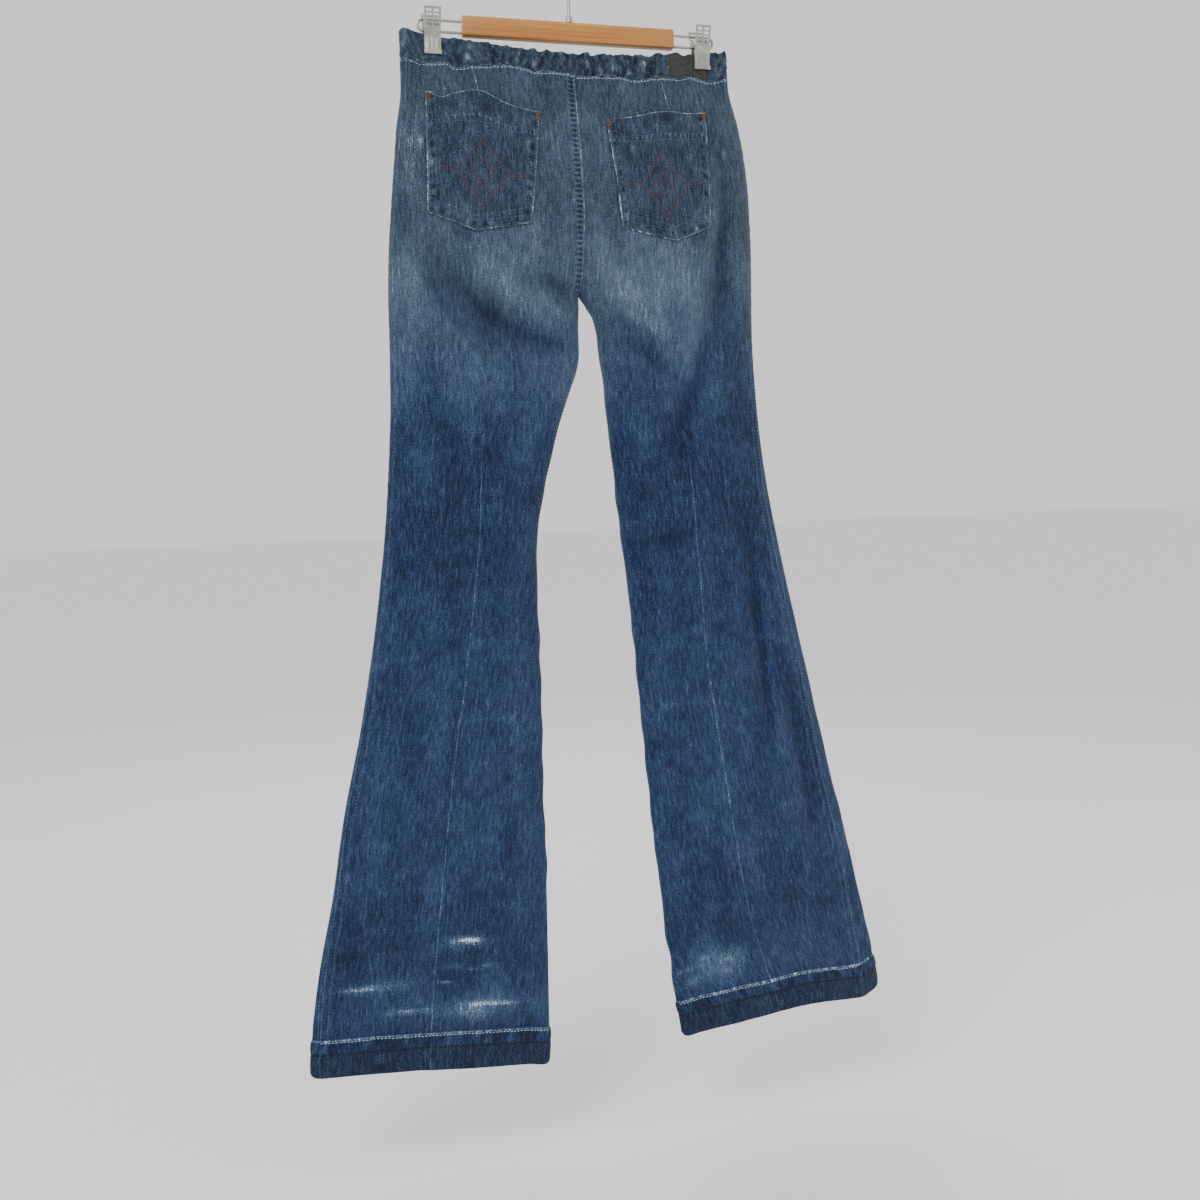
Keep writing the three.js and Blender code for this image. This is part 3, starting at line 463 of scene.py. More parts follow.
class Finish:
    def __init__(self, name):
        self.material = bpy.data.materials.new(name)
        self.material.use_nodes = True
        self.tree = self.material.node_tree
        self.shader = self.tree.nodes["Principled BSDF"]

    # Any node: its type, its settings, and the values or links of its sockets
    def node(self, kind, settings, sockets, output=0):
        made = self.tree.nodes.new(kind)
        for key, value in settings.items():
            if key == "stops":
                while len(made.color_ramp.elements) < len(value):
                    made.color_ramp.elements.new(0.5)
                for element, (place, colour) in zip(made.color_ramp.elements, value):
                    element.position, element.color = place, (*colour, 1)
            else:
                setattr(made, key, value)
        for key, value in sockets.items():
            if isinstance(value, Wire):
                self.tree.links.new(value.socket, made.inputs[key])
            else:
                made.inputs[key].default_value = value
        return Wire(self, made.outputs[output])

    def attribute(self, name):
        return self.node("ShaderNodeAttribute", {"attribute_name": name}, {}, "Fac")

    def place(self, scale, source):
        coords = self.node("ShaderNodeTexCoord", {}, {}, source)
        return self.node("ShaderNodeMapping", {}, {"Vector": coords, "Scale": scale})

    # Noise from -0.5 to 0.5, with features of about 1 / scale metres
    def noise(self, scale, detail=2.0, roughness=0.5, source="UV"):
        return self.node("ShaderNodeTexNoise", {},
                         {"Vector": self.place(scale, source), "Scale": 1.0, "Detail": detail,
                          "Roughness": roughness}) - 0.5

    # Waves along V, one for each unit of the scaled coordinates
    def wave(self, scale, source="UV"):
        return self.node("ShaderNodeTexWave", {"bands_direction": "Y"},
                         {"Vector": self.place(scale, source), "Scale": 0.314159})

    def colours(self, value, stops):
        return self.node("ShaderNodeValToRGB", {"stops": stops}, {"Fac": value})

    def blend(self, share, first, second):
        return self.node("ShaderNodeMix", {"data_type": "RGBA"}, {"Factor": share, 6: first, 7: second}, 2)

    def bump(self, height, distance):
        self.set("Normal",
                 self.node("ShaderNodeBump", {}, {"Height": height, "Distance": distance, "Strength": 1.0}))

    def set(self, socket, value):
        if isinstance(value, Wire):
            self.tree.links.new(value.socket, self.shader.inputs[socket])
        else:
            self.shader.inputs[socket].default_value = value


def tint(code, gain=1.0, power=1.0):
    parts = [int(code[k:k + 2], 16) / 255 for k in (1, 3, 5)]
    return tuple(gain * (p / 12.92 if p <= 0.04045 else ((p + 0.055) / 1.055) ** 2.4) ** power
                 for p in parts)


# Washed denim: dye from dark to bare with painted shade of the folds added, in three casts, with threads,
# grain, mottling and worn lines
dye = dict(
    gain=1.0, power=1.08, places=(0.0, 0.2, 0.3, 0.4, 0.5, 0.6, 0.7, 0.8, 0.9, 1.0),
    blue=("#131f33", "#1c2e4b", "#233958", "#2c4463", "#384f6d", "#455c76", "#526a82", "#6b8299",
          "#96a9b9", "#ccd7de"),
    violet=("#161d37", "#212d50", "#2a385d", "#344368", "#404f72", "#4c5c7b", "#5a6a86", "#73819a",
            "#9ba8ba", "#ced6df"),
    grey=("#141c25", "#1f2b38", "#283643", "#33414e", "#3e4d5a", "#4a5a68", "#576876", "#6f7f8a",
          "#98a5ad", "#c9d2d6"),
    thread=0.5, grain=0.6, mottle=0.36, slub=0.19, broad=0.26, cast=1.8)


def castStops(cast):
    return [(place, tint(code, dye["gain"], dye["power"])) for place, code in zip(dye["places"], dye[cast])]


# lines: attribute, place, half width and strength of each worn line, dark line or painted shadow line
def denimFinish(name, lines, chain=False):
    finish = Finish(name)
    thread = finish.noise((900, 95, 1), 2.0, 0.6)
    grain = finish.noise((640, 560, 1), 2.0, 0.6)
    mottle = finish.noise((300, 62, 1), 2.0, 0.55)
    slub = finish.noise((420, 14, 1), 3.0, 0.55)
    broad = finish.noise((30, 20, 1), 3.0, 0.55)
    fade = finish.attribute("fade")
    weave = thread * dye["thread"] + grain * dye["grain"] + mottle * dye["mottle"] + slub * dye["slub"]
    # The tone attribute adds painted shade of the folds to the dye value
    value = fade + finish.attribute("tone") + weave * (2.2 - fade * 1.9) + broad * dye["broad"]
    ragged = finish.noise((170, 170, 1), 3.0, 0.65)
    for key, place, width, strength in lines:
        off = abs(finish.attribute(key) - place + ragged * (width * 1.1))
        uneven = (ragged * 2.4 + 0.75).within(0.1, 1.3) if strength > 0 else 1.0
        value = value + off.fadeIn(width, width * 0.3) * uneven * strength
    if chain:
        pitch = finish.wave((1, 1 / 0.0052, 1))
        band = abs(finish.attribute("centre") - 5.2).fadeIn(4.6, 2.4)
        value = value + (pitch - 0.35) * band * 0.34
    worn = finish.attribute("wear") * (grain * 1.2 + thread * 0.8 + 0.75)
    value = (value + worn).within(0.0, 1.0)
    cast = (finish.noise((26, 18, 1), 2.0, 0.5) * dye["cast"] + 0.35).within(0.0, 1.0)
    blues = finish.blend(cast, finish.colours(value, castStops("blue")),
                         finish.colours(value, castStops("violet")))
    finish.set("Base Color", finish.blend(finish.attribute("teal").within(0.0, 1.0), blues,
                                          finish.colours(value, castStops("grey"))))
    finish.set("Roughness", 0.98 - value * 0.1)
    finish.set("Sheen Weight", 0.1)
    finish.set("Specular IOR Level", 0.2)
    finish.bump(grain * 0.8 + thread * 0.7 + mottle * 0.3, 0.0006)
    return finish.material


# The dark hem line 15 mm below the hem's top edge is a painted shadow under the roped band
panelLines = [("hem", 0.4, 1.6, 0.56), ("hem", -15.0, 1.6, -0.14), ("top", 0.6, 1.4, 0.26),
              ("crease", 0.0, 0.9, 0.34), ("centre", 0.3, 1.2, 0.4), ("centre", 9.9, 0.8, 0.16),
              ("dart", 0.0, 1.1, 0.32), ("side", 1.0, 1.0, 0.22), ("side", 9.4, 0.8, 0.2)]
frontLines = ([line for line in panelLines if line[0] in ("hem", "top")]
              + [("centre", 0.6, 1.0, 0.2), ("side", 1.0, 1.0, 0.14)])
denims = dict(
    back=denimFinish("washedDenimBack", panelLines, chain=True),
    front=denimFinish("washedDenimFront", frontLines),
    casing=denimFinish("gatheredDenim", [("seam", 0.4, 1.2, 0.3), ("ridge", 0.0, 0.9, 0.2)]),
    pocket=denimFinish("pocketDenim", [("border", 0.5, 1.0, 0.46), ("band", 0.0, 1.1, 0.14)]))
print("denims made")


# How far the dye is washed out, from 0 dark to 1 pale: down the leg, then in patches with a place and radii.
# The dark patches along the side of the left hip and of the right thigh are painted shade
fadeDown = [(20, 0.42), (50, 0.44), (90, 0.46), (160, 0.48), (230, 0.54), (300, 0.47), (350, 0.41),
            (400, 0.3), (460, 0.27), (540, 0.29), (700, 0.32), (860, 0.32), (940, 0.26), (1010, 0.35),
            (1040, 0.22), (1080, 0.22)]
fadeAndShadePatches = [
    ("right", 78, 232, 52, 44, 0.12), ("right", 116, 300, 40, 60, 0.08), ("right", 60, 330, 30, 40, -0.06),
    ("left", 74, 224, 40, 36, 0.04), ("left", 166, 260, 30, 90, 0.05), ("left", 40, 340, 40, 34, 0.04),
    # the dark patch at 180 mm on the right is painted shade along the thigh's side
    ("right", 180, 320, 22, 130, -0.16), ("right", 20, 150, 12, 80, 0.05), ("left", 134, 1000, 60, 12, 0.1),
    ("left", 262, 980, 26, 8, 0.1), ("right", 130, 990, 42, 22, 0.12), ("left", 150, 470, 60, 60, -0.03),
    # the dark patch at 176 mm on the left is painted shade along the hip's side
    ("right", 100, 440, 60, 50, -0.05), ("left", 176, 110, 16, 60, -0.1), ("left", 180, 100, 8, 60, 0.1),
]
# White scuffs near the hems: leg, distance from the centre line, drop, radii, amount, slope
scuffs = [
    ("left", 146, 929, 13, 2.6, 0.62, -0.06), ("left", 152, 932, 24, 6, 0.26, 0),
    ("left", 163, 958, 11, 1.6, 0.42, 0.05), ("left", 136, 961, 12, 1.5, 0.4, 0.1),
    ("left", 172, 977, 10, 1.8, 0.4, -0.1), ("left", 262, 979, 24, 3, 0.4, 0.05),
    ("left", 222, 975, 18, 8, 0.12, 0), ("left", 122, 1003, 30, 3, 0.36, -0.02),
    ("left", 215, 1008, 26, 2.4, 0.3, 0.02), ("left", 150, 1010, 34, 9, 0.2, 0),
    ("right", 148, 990, 24, 9, 0.16, 0.2), ("right", 100, 992, 16, 2.4, 0.2, -0.1),
    ("right", 114, 984, 10, 1.5, 0.2, -0.15), ("right", 106, 1008, 14, 5, 0.14, 0),
    ("right", 158, 982, 14, 10, 0.12, 0), ("right", 136, 1004, 30, 6, 0.12, 0),
    ("left", 168, 96, 10, 14, 0.16, 0.5), ("left", 174, 130, 6, 22, 0.14, 0),
]


def patchSum(table, legName, face, x, drop):
    total = np.zeros(np.shape(x))
    for leg, x0, d0, rx, rd, amount, *slope in table:
        if leg == legName and face == "back":
            lean = slope[0] * (x - x0) if slope else 0
            total += amount * np.exp(-((x - x0) / rx) ** 2 - ((drop - d0 - lean) / rd) ** 2)
    return total


# Relief that the sewing raises on a panel
sewing = dict(hemStep=0.8, hemPucker=0.42, fell=0.9, side=0.5, dart=0.7, ripple=0.6)


def hemPuckers(sheet):
    return waves(sheet.fromInner + 0.3 * sheet.aboveHem, sheet.aboveHem * 0.15, 7.5, 21)


def seamRelief(sheet):
    x, drop, name = sheet.x, sheet.drop, sheet.legName
    fromInner, fromSide, aboveHem = sheet.fromInner, sheet.fromSide, sheet.aboveHem
    inside = ramp(0, 30, fromSide)
    height = (0.4 * waves(x, drop, 60, 11) + 0.25 * waves(x, drop * 0.6, 26, 12)) * inside
    height += sewing["ripple"] * waves(x, drop * 0.15, 17, 13) * (1 - ramp(26, 75, drop))
    edge = 1 - ramp(hem["height"] - 0.8, hem["height"] + 1.0, aboveHem)
    rope = ramp(hem["height"] - hem["rope"] - 3, hem["height"] - hem["rope"], aboveHem)
    pucker = hemPuckers(sheet)
    height += edge * (sewing["hemStep"] + sewing["hemPucker"] * rope * pucker + 0.4 * rope)
    height -= 0.5 * bell(aboveHem - (hem["height"] - hem["rope"] - 1.5), 1.6)
    height += 0.3 * (1 - edge) * waves(fromInner, aboveHem * 0.3, 12, 22) * (1 - ramp(42, 75, aboveHem))
    if sheet.face == "back":
        height += 0.5 * bell(x - curve(legs[name]["crease"], drop), 1.8) * ramp(385, 430, drop)
        onCentre = 1 - ramp(seat["crotch"] - 6, seat["crotch"], drop)
        fell = 1 - ramp(9.4, 10.6, fromInner) if name == "left" else bell(fromInner, 1.5)
        chain = 0.3 * np.sin(2 * math.pi * (drop + 0.6 * fromInner) / 5.2)
        height += onCentre * fell * (sewing["fell"] + chain - 0.5 * bell(fromInner - 5, 2.6))
        (x0, d0), (x1, d1) = darts[name]
        line = x - np.interp(drop, [d0, d1], [x0, x1])
        height += (sewing["dart"] * (bell(line - 1.4, 1.7) - 0.6 * bell(line + 1.2, 1.2))
                   * (1 - ramp(d1 - 3, d1 + 3, drop)))
    side = 1 - ramp(0.5, 3, fromSide) if sheet.face == "front" else 1 - ramp(8.6, 10, fromSide)
    height += side * sewing["side"] * (1 + 0.25 * waves(fromSide, drop, 9, 31)) * ramp(60, 90, drop)
    return height


# tone holds painted shade of the folds (darker valleys, lighter ridges), with the hem's roping, its darker
# lower band and the darker felled seam
def panelLayers(sheet, tone):
    name, face, x, drop = sheet.legName, sheet.face, sheet.x, sheet.drop
    back = face == "back"
    far = np.full(x.shape, 99.0)
    fade = (curve(fadeDown, drop) + patchSum(fadeAndShadePatches, name, face, x, drop)
            + 0.025 * waves(x, drop * 0.4, 44, 41))
    crease = np.where(drop > 384, x - curve(legs[name]["crease"], drop), 99) if back else far
    (x0, d0), (x1, d1) = darts[name]
    dartLine = np.where(drop < d1 + 1, x - np.interp(drop, [d0, d1], [x0, x1]), 99) if back else far
    onCentre = (drop < seat["crotch"] + 2) & (name == "left" or not back)
    centre = np.where(onCentre, sheet.fromInner, 99.0)
    if back and name == "right":
        centre = far
    return dict(fade=fade, tone=tone, crease=crease, dart=dartLine, centre=centre, side=sheet.fromSide,
                hem=sheet.aboveHem - hem["height"], top=drop - waist["casing"],
                wear=np.clip(patchSum(scuffs, name, face, x, drop), 0, 1) * 1.5,
                teal=0.85 * (1 - ramp(150, 430, drop))
                + 0.35 * (sheet.aboveHem < hem["height"] - hem["rope"]))


# Thread: stitches are joined copies of one small rounded shape
bpy.ops.object.select_all(action="DESELECT")
bpy.ops.mesh.primitive_uv_sphere_add(segments=6, ring_count=4, radius=1)
pattern = bpy.context.object
stitchPoints = np.array([vertex.co[:] for vertex in pattern.data.vertices])[:, [2, 0, 1]]
stitchFaces = [list(face.vertices) for face in pattern.data.polygons]
bpy.data.objects.remove(pattern)
threads = dict(
    tonal=dict(colour="#3d4f63", length=2.9, gap=0.9, width=0.7, rise=0.32),
    pale=dict(colour="#8d9dab", length=3.0, gap=0.9, width=0.8, rise=0.36),
    rust=dict(colour="#4b3136", length=2.8, gap=0.7, width=0.95, rise=0.42),
    bar=dict(colour="#5c3a2c", length=1.5, gap=-0.7, width=0.7, rise=0.5))


def threadFinish(name, settings):
    finish = Finish(f"{name}Thread")
    twist = finish.noise((1400, 1400, 1400), 2.0, 0.6, "Object")
    base, pale = tint(settings["colour"]), tint(settings["colour"], 2.1)
    finish.set("Base Color", finish.blend((twist * 2.2 + 0.4).within(0.0, 1.0), (*base, 1), (*pale, 1)))
    finish.set("Roughness", 0.8)
    finish.bump(twist, 0.0003)
    return finish.material


threadFinishes = {name: threadFinish(name, settings) for name, settings in threads.items()}


# Vectors at distances along a line of stitches
def threadPlaces(distances, lengths, vectors):
    return np.stack([np.interp(distances, lengths, vectors[:, k]) for k in range(3)], 1)


# rows: (surface, rows, columns, kind) of each line of stitches
def sew(name, rows):
    made = []
    for kind, settings in threads.items():
        spots, frames = [], []
        for surface, r, c, rowKind in rows:
            if rowKind != kind:
                continue
            points, normals = surface.at(r, c, 0.12)
            lengths = np.concatenate([[0], np.cumsum(np.linalg.norm(np.diff(points, axis=0), axis=1))])
            places = np.arange(settings["length"] / 2, lengths[-1], settings["length"] + settings["gap"])
            centre = threadPlaces(places, lengths, points)
            along = unit(threadPlaces(places + 0.5, lengths, points)
                         - threadPlaces(places - 0.5, lengths, points))
            sideways = unit(np.cross(threadPlaces(places, lengths, normals), along))
            normal = np.cross(along, sideways)
            size = [settings["length"] / 2, settings["width"] / 2, settings["rise"]]
            spots.append(centre)
            frames.append(np.stack([along * size[0], sideways * size[1], normal * size[2]], 1))
        if not spots:
            continue
        spots, frames = np.concatenate(spots), np.concatenate(frames)
        points = spots[:, None] + np.einsum("vk,nkj->nvj", stitchPoints, frames)
        count = len(stitchPoints)
        faces = [[v + count * n for v in face] for n in range(len(spots)) for face in stitchFaces]
        mesh = bpy.data.meshes.new(f"{name}{kind.title()}Thread")
        mesh.from_pydata((points.reshape(-1, 3) * mm).tolist(), [], faces)
        piece = placed(mesh.name, mesh)
        bpy.ops.object.mode_set(mode="EDIT")
        bpy.ops.mesh.select_all(action="SELECT")
        bpy.ops.mesh.normals_make_consistent(inside=False)
        bpy.ops.object.mode_set(mode="OBJECT")
        bpy.ops.object.shade_smooth()
        piece.data.materials.append(threadFinishes[kind])
        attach(piece, "root")
        made.append(piece)
    return made


def finishPiece(piece, material, slot, *nodes):
    piece.data.materials.clear()
    piece.data.materials.append(material)
    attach(piece, "root")
    if nodes:
        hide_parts(*nodes)
    return piece


# Rows of a panel, close together where the folds and the seams are
def panelDrops(legName, spacing):
    end = legs[legName]["hemDrop"]
    bands = [(waist["casing"] + 0.15, 450, 2.1), (450, end - 58, 3.4), (end - 58, end, 1.5)]
    drops = []
    for low, high, step in bands:
        count = round((high - low) / (step * spacing))
        drops.append(np.linspace(low, high, count, endpoint=False))
    return np.concatenate([*drops, [end]])


panelSet = dict(back=dict(columns=88, spacing=1.0, side=(2.0, 8.0), centre=(1.8, 8.2)),
                front=dict(columns=60, spacing=1.6, side=(2.0,), centre=(1.8, 7.5)),
                flat=(0.275, 1.06), inseam=2.2, topRow=25.4, hemRow=38.6)
sheets = {}
for legName in legs:
    hemDrop = legs[legName]["hemDrop"]
    for face in ("back", "front"):
        settings = panelSet[face]
        sheet = Sheet(legName, face, panelDrops(legName, settings["spacing"]), settings["columns"])
        big = foldRise(folds, legName, face, sheet.x, sheet.drop)
        small = foldRise(creases, legName, face, sheet.x, sheet.drop)
        if face == "back":
            clear = awayFromPocket(legName, sheet.x, sheet.drop)
            big, small = big * clear, small * clear
        sewn = seamRelief(sheet)
        sheet.lifted(small + sewn)
        # Painted shade: darker in the valleys of the folds and creases, lighter on their ridges
        tone = 0.019 * np.clip(big, -9, 5) + 0.05 * small
        roped = (sheet.aboveHem < hem["height"]) & (sheet.aboveHem > hem["height"] - hem["rope"])
        tone += np.where(roped, 0.1 * hemPuckers(sheet) - 0.02, 0)
        tone -= np.where(sheet.aboveHem < hem["height"] - hem["rope"], 0.04, 0)
        if face == "back" and legName == "left":
            tone -= 0.14 * (bell(sheet.fromInner - 5, 4.2)) * (sheet.drop < seat["crotch"])
        arc = [np.interp(curve(legs[legName]["crease"], d), row, length) for d, row, length in
               zip(sheet.drops, sheet.x, sheet.fromInner)]
        uv = np.stack([sheet.fromInner - np.array(arc)[:, None] + 1000 * (face == "front"), sheet.drop], -1)
        name = f"{legName}{face.title()}Panel"
        piece = shellPiece(name, sheet, cloth["panel"], uv, panelLayers(sheet, tone))
        finishPiece(piece, denims[face], "denim", f"{legName}_{face}_panel")
        across = np.linspace(2, 169, 240)
        low = curve(legs[legName]["inner"], hemDrop - 38) + 3
        high = (curve(legs[legName]["outer"], hemDrop - 38)
                - (25 if legName == "right" and face == "back" else 9))
        alongHem = np.linspace(low, high, 300)
        rows = [(sheet, *sheet.find(across, panelSet["topRow"]), "pale"),
                (sheet, *sheet.find(alongHem, hemDrop - panelSet["hemRow"]), "pale")]
        rows.append((sheet, *sheet.beside(sheet.fromSide, settings["side"][0], 62, hemDrop - 42), "tonal"))
        rows.append((sheet,
                     *sheet.beside(sheet.fromInner, panelSet["inseam"], seat["crotch"] + 12, hemDrop - 42),
                     "tonal"))
        for distance in settings["side"][1:]:
            rows.append((sheet, *sheet.beside(sheet.fromSide, distance, 62, hemDrop - 42), "tonal"))
        if legName == "left":
            for distance in settings["centre"]:
                rows.append((sheet, *sheet.beside(sheet.fromInner, distance, 26, seat["crotch"] - 6),
                             "tonal"))
        stitches = sew(f"{legName}{face.title()}", rows)
        sheets[legName, face] = sheet
        print(name, "area", round(sheet.area, 4), "hem width", round(float(sheet.fromInner[-1, -1])))

# Gathered waist casing
casingSet = dict(back=150, front=120, rows=20, flat=(0.235, 0.023))
for legName in legs:
    for face in ("back", "front"):
        drops = np.linspace(0, waist["casing"] - 0.15, casingSet["rows"])
        sheet = Sheet(legName, face, drops, casingSet[face], gathered=True)
        rise = gatherRise(legName, face, sheet.x, sheet.drop)
        rolled = np.sqrt(np.clip(1 - (1 - np.clip(drops / 4, 0, 1)) ** 2, 0, 1))[:, None]
        patched = ((ramp(98, 104, sheet.x) * (1 - ramp(149, 155, sheet.x)))
                   if (legName, face) == ("right", "back") else 0)
        sheet.lifted((0.9 * (rolled - 1) - 0.6 * ramp(18, 23, sheet.drop)
                      + 0.3 * waves(sheet.x, sheet.drop, 6, 51)
                      * ramp(9, 20, np.abs(sheet.x - waist["clipX"]))) * (1 - patched))
        # Painted shade in the valleys between the gathers and painted light on their lumps, plus uneven tone
        # in waves
        tone = 0.035 * np.clip(rise, -2.5, 2) + 0.06 * waves(sheet.x, sheet.drop, 7, 53)
        if face == "back" and legName == "left":
            tone -= (0.1 * bell(sheet.fromInner - 1, 1.6) + 0.08 * bell(sheet.fromInner - 10, 1.6)
                     - 0.1 * bell(sheet.fromInner - 5.5, 2.4))
        layers = dict(fade=0.39 + 0.03 * waves(sheet.x, sheet.drop, 24, 52), tone=tone,
                      ridge=np.clip(2.2 - rise, 0, 9), seam=waist["casing"] - sheet.drop, wear=0.0,
                      teal=0.9)
        piece = shellPiece(f"{legName}{face.title()}Casing", sheet, cloth["casing"],
                           np.stack([sheet.fromInner, sheet.drop], -1), layers)
        finishPiece(piece, denims["casing"], "casing_denim", f"{legName}_{face}_casing")
        sheets[legName, face + "Casing"] = sheet
print("casings")


# Patch pockets: a grid of places on the back panel
def pocketGrid(shape, columns, rows):
    across, down = np.meshgrid(np.linspace(0, 1, columns + 1), np.linspace(0, 1, rows + 1))
    tipShare = ((shape["tip"][0] - shape["innerBottom"][0])
                / (shape["outerBottom"][0] - shape["innerBottom"][0]))
    mouth, dip = bell(across - 0.54, 0.2), bell(across - 0.87, 0.07)
    top = (mix(shape["innerTop"][1], shape["outerTop"][1], across) - shape["rise"] * mouth
           + shape["dip"] * dip)
    bottom = np.where(across < tipShare, mix(shape["innerBottom"][1], shape["tip"][1], across / tipShare),
                      mix(shape["tip"][1], shape["outerBottom"][1], (across - tipShare) / (1 - tipShare)))
    inner = mix(shape["innerTop"][0], shape["innerBottom"][0], down)
    outer = mix(shape["outerTop"][0], shape["outerBottom"][0], down)
    x, drop = mix(inner, outer, across), mix(top, bottom, down)
    return dict(x=x, drop=drop, tipShare=tipShare, gape=shape["gape"] * mouth * (1 - down) ** 5,
                fromTop=drop - top, fromBottom=bottom - drop, fromInner=x - inner, fromOuter=outer - x,
                tip=x - mix(inner, outer, tipShare))


# The stitched lozenges stand where the maker's design was. Shares of the pocket's width and height
lozenge = dict(middle=(0.5, 0.58), halves=((0.25, 0.27), (0.225, 0.243), (0.12, 0.13), (0.095, 0.103)),
               bars=((0.09, 0.25), (0.75, 0.91)))
pocketSet = dict(columns=72, rows=84, edgeRows=((2.2, "tonal"), (8.4, "tonal")))
for legName, shape in pockets.items():
    grid = pocketGrid(shape, pocketSet["columns"], pocketSet["rows"])
    toEdge = np.minimum(np.minimum(grid["fromInner"], grid["fromOuter"]), grid["fromBottom"])
    border = np.minimum(toEdge, grid["fromTop"])
    alongEdge = np.where(grid["fromBottom"] < np.minimum(grid["fromInner"], grid["fromOuter"]), grid["x"],
                         grid["drop"])
    pucker = waves(alongEdge + 0.3 * toEdge, toEdge * 0.4, 7, 61 + len(legName))
    hemPart = bell(grid["fromTop"] - 23, 1.7)
    puffs = np.sin(2 * math.pi * grid["x"] / 5.1 + 0.8 * waves(grid["x"], 0, 20, 65)) * hemPart
    height = -0.8 * (1 - ramp(0, 1.4, border)) + 0.45 * bell(toEdge - 6, 3.5) * pucker
    height -= 0.35 * bell(toEdge - 2.2, 0.8) + 0.3 * bell(toEdge - 8.4, 1.0)
    height += (0.4 * puffs - 0.3 * bell(grid["fromTop"] - 20.4, 0.8)
               - 0.3 * bell(grid["fromTop"] - 25.6, 0.8))
    height += 0.35 * bell(grid["fromBottom"] - 15, 1.4) + 0.25 * waves(grid["x"], grid["drop"], 26, 63)
    height += (0.5 * bell(grid["tip"] + 0.12 * grid["fromBottom"], 1.6)
               * (1 - ramp(10, 20, grid["fromBottom"])))
    back = sheets[legName, "back"]
    base, normals = back.at(*back.find(grid["x"], grid["drop"]), 0.35 + cloth["pocket"])
    surface = Surface(base + normals * (height + grid["gape"])[..., None], -1)
    tone = (0.09 * bell(toEdge - 6, 3.5) * pucker + 0.34 * np.clip(puffs, -0.3, 1)
            + 0.03 * ramp(30, 60, grid["fromTop"]))
    tone += 0.05 * (1 - ramp(12, 17, grid["fromBottom"])) * ramp(2, 6, grid["fromBottom"])
    tone += 0.03 * waves(grid["x"], grid["drop"] * 0.5, 18, 66)
    layers = dict(fade=0.35 + 0.03 * waves(grid["x"], grid["drop"], 40, 64), tone=tone, border=border,
                  band=grid["fromBottom"] - 15, wear=0.0, teal=0.8)
    piece = shellPiece(f"{legName}BackPocket", surface, cloth["pocket"],
                       np.stack([grid["x"], grid["drop"]], -1), layers)
    finishPiece(piece, denims["pocket"], "pocket_denim", f"{legName}_back_pocket")

    # A polyline of (share across, share down), as rows and columns
    def line(*corners, count=60):
        corners = np.array(corners, float)
        steps = np.linspace(0, len(corners) - 1, count * (len(corners) - 1))
        return (np.interp(steps, np.arange(len(corners)), corners[:, 1]) * pocketSet["rows"],
                np.interp(steps, np.arange(len(corners)), corners[:, 0]) * pocketSet["columns"])

    width, tall, tip = 106, 118, grid["tipShare"]
    rows = []
    for distance, kind in pocketSet["edgeRows"]:
        a, b = distance / width, 1 - distance / tall
        rows.append((surface, *line((a, 0.02), (a, b), (tip, b), (1 - a, b), (1 - a, 0.02)), kind))
    for distance in (20.4, 25.6):
        rows.append((surface, *line((0.02, distance / tall), (0.98, distance / tall), count=160), "tonal"))
    cx, cy = lozenge["middle"]
    for hx, hy in lozenge["halves"]:
        rows.append((surface,
            *line((cx, cy - hy), (cx + hx, cy), (cx, cy + hy), (cx - hx, cy), (cx, cy - hy)), "rust"))
    for start, end in lozenge["bars"]:
        for up in (-0.012, 0.012):
            rows.append((surface, *line((start, cy + up), (end, cy + up)), "rust"))
    for corner in (0.005, 0.965):
        for k in range(5):
            rows.append((surface,
                         *line((corner + 0.007 * k, 0.012), (corner + 0.007 * k, 0.075), count=20), "bar"))
    stitches = sew(f"{legName}Pocket", rows)
print("pockets")

# Waist patch, bare
patchSet = dict(inner=104, outer=149, top=2, bottom=22, lift=0.35)
px, pd = np.meshgrid(np.linspace(patchSet["inner"], patchSet["outer"], 46),
                     np.linspace(patchSet["top"], patchSet["bottom"], 22))
casing = sheets["right", "backCasing"]
edge = np.minimum(np.minimum(px - patchSet["inner"], patchSet["outer"] - px),
                  np.minimum(pd - patchSet["top"], patchSet["bottom"] - pd))
pressed = 1 - ramp(9, 14, np.abs(px - waist["clipX"]))
height = (patchSet["lift"] + cloth["patch"] - 0.4 * (1 - ramp(0, 1.5, edge))
          + 0.2 * waves(px, pd, 9, 81) * (1 - pressed))
base, normals = casing.at(*casing.find(px, pd), 0)
surface = Surface(base + normals * height[..., None], -1)
leather = Finish("patchLeather")
pores = leather.noise((900, 900, 1), 3.0, 0.6)
scuffed = leather.noise((120, 300, 1), 3.0, 0.6)
worn = (scuffed * 2.4 + pores + 0.4).within(0.0, 1.0)
leather.set("Base Color", leather.blend(worn, (*tint("#1b1a1b"), 1), (*tint("#3b3735"), 1)))
leather.set("Roughness", 0.75 + scuffed * 0.2)
leather.bump(pores + scuffed * 0.8, 0.0006)
patchPiece = shellPiece("waistPatch", surface, cloth["patch"], np.stack([px, pd], -1), dict(wear=0.0))
finishPiece(patchPiece, leather.material, "patch", "waist_patch")
print("waist patch")

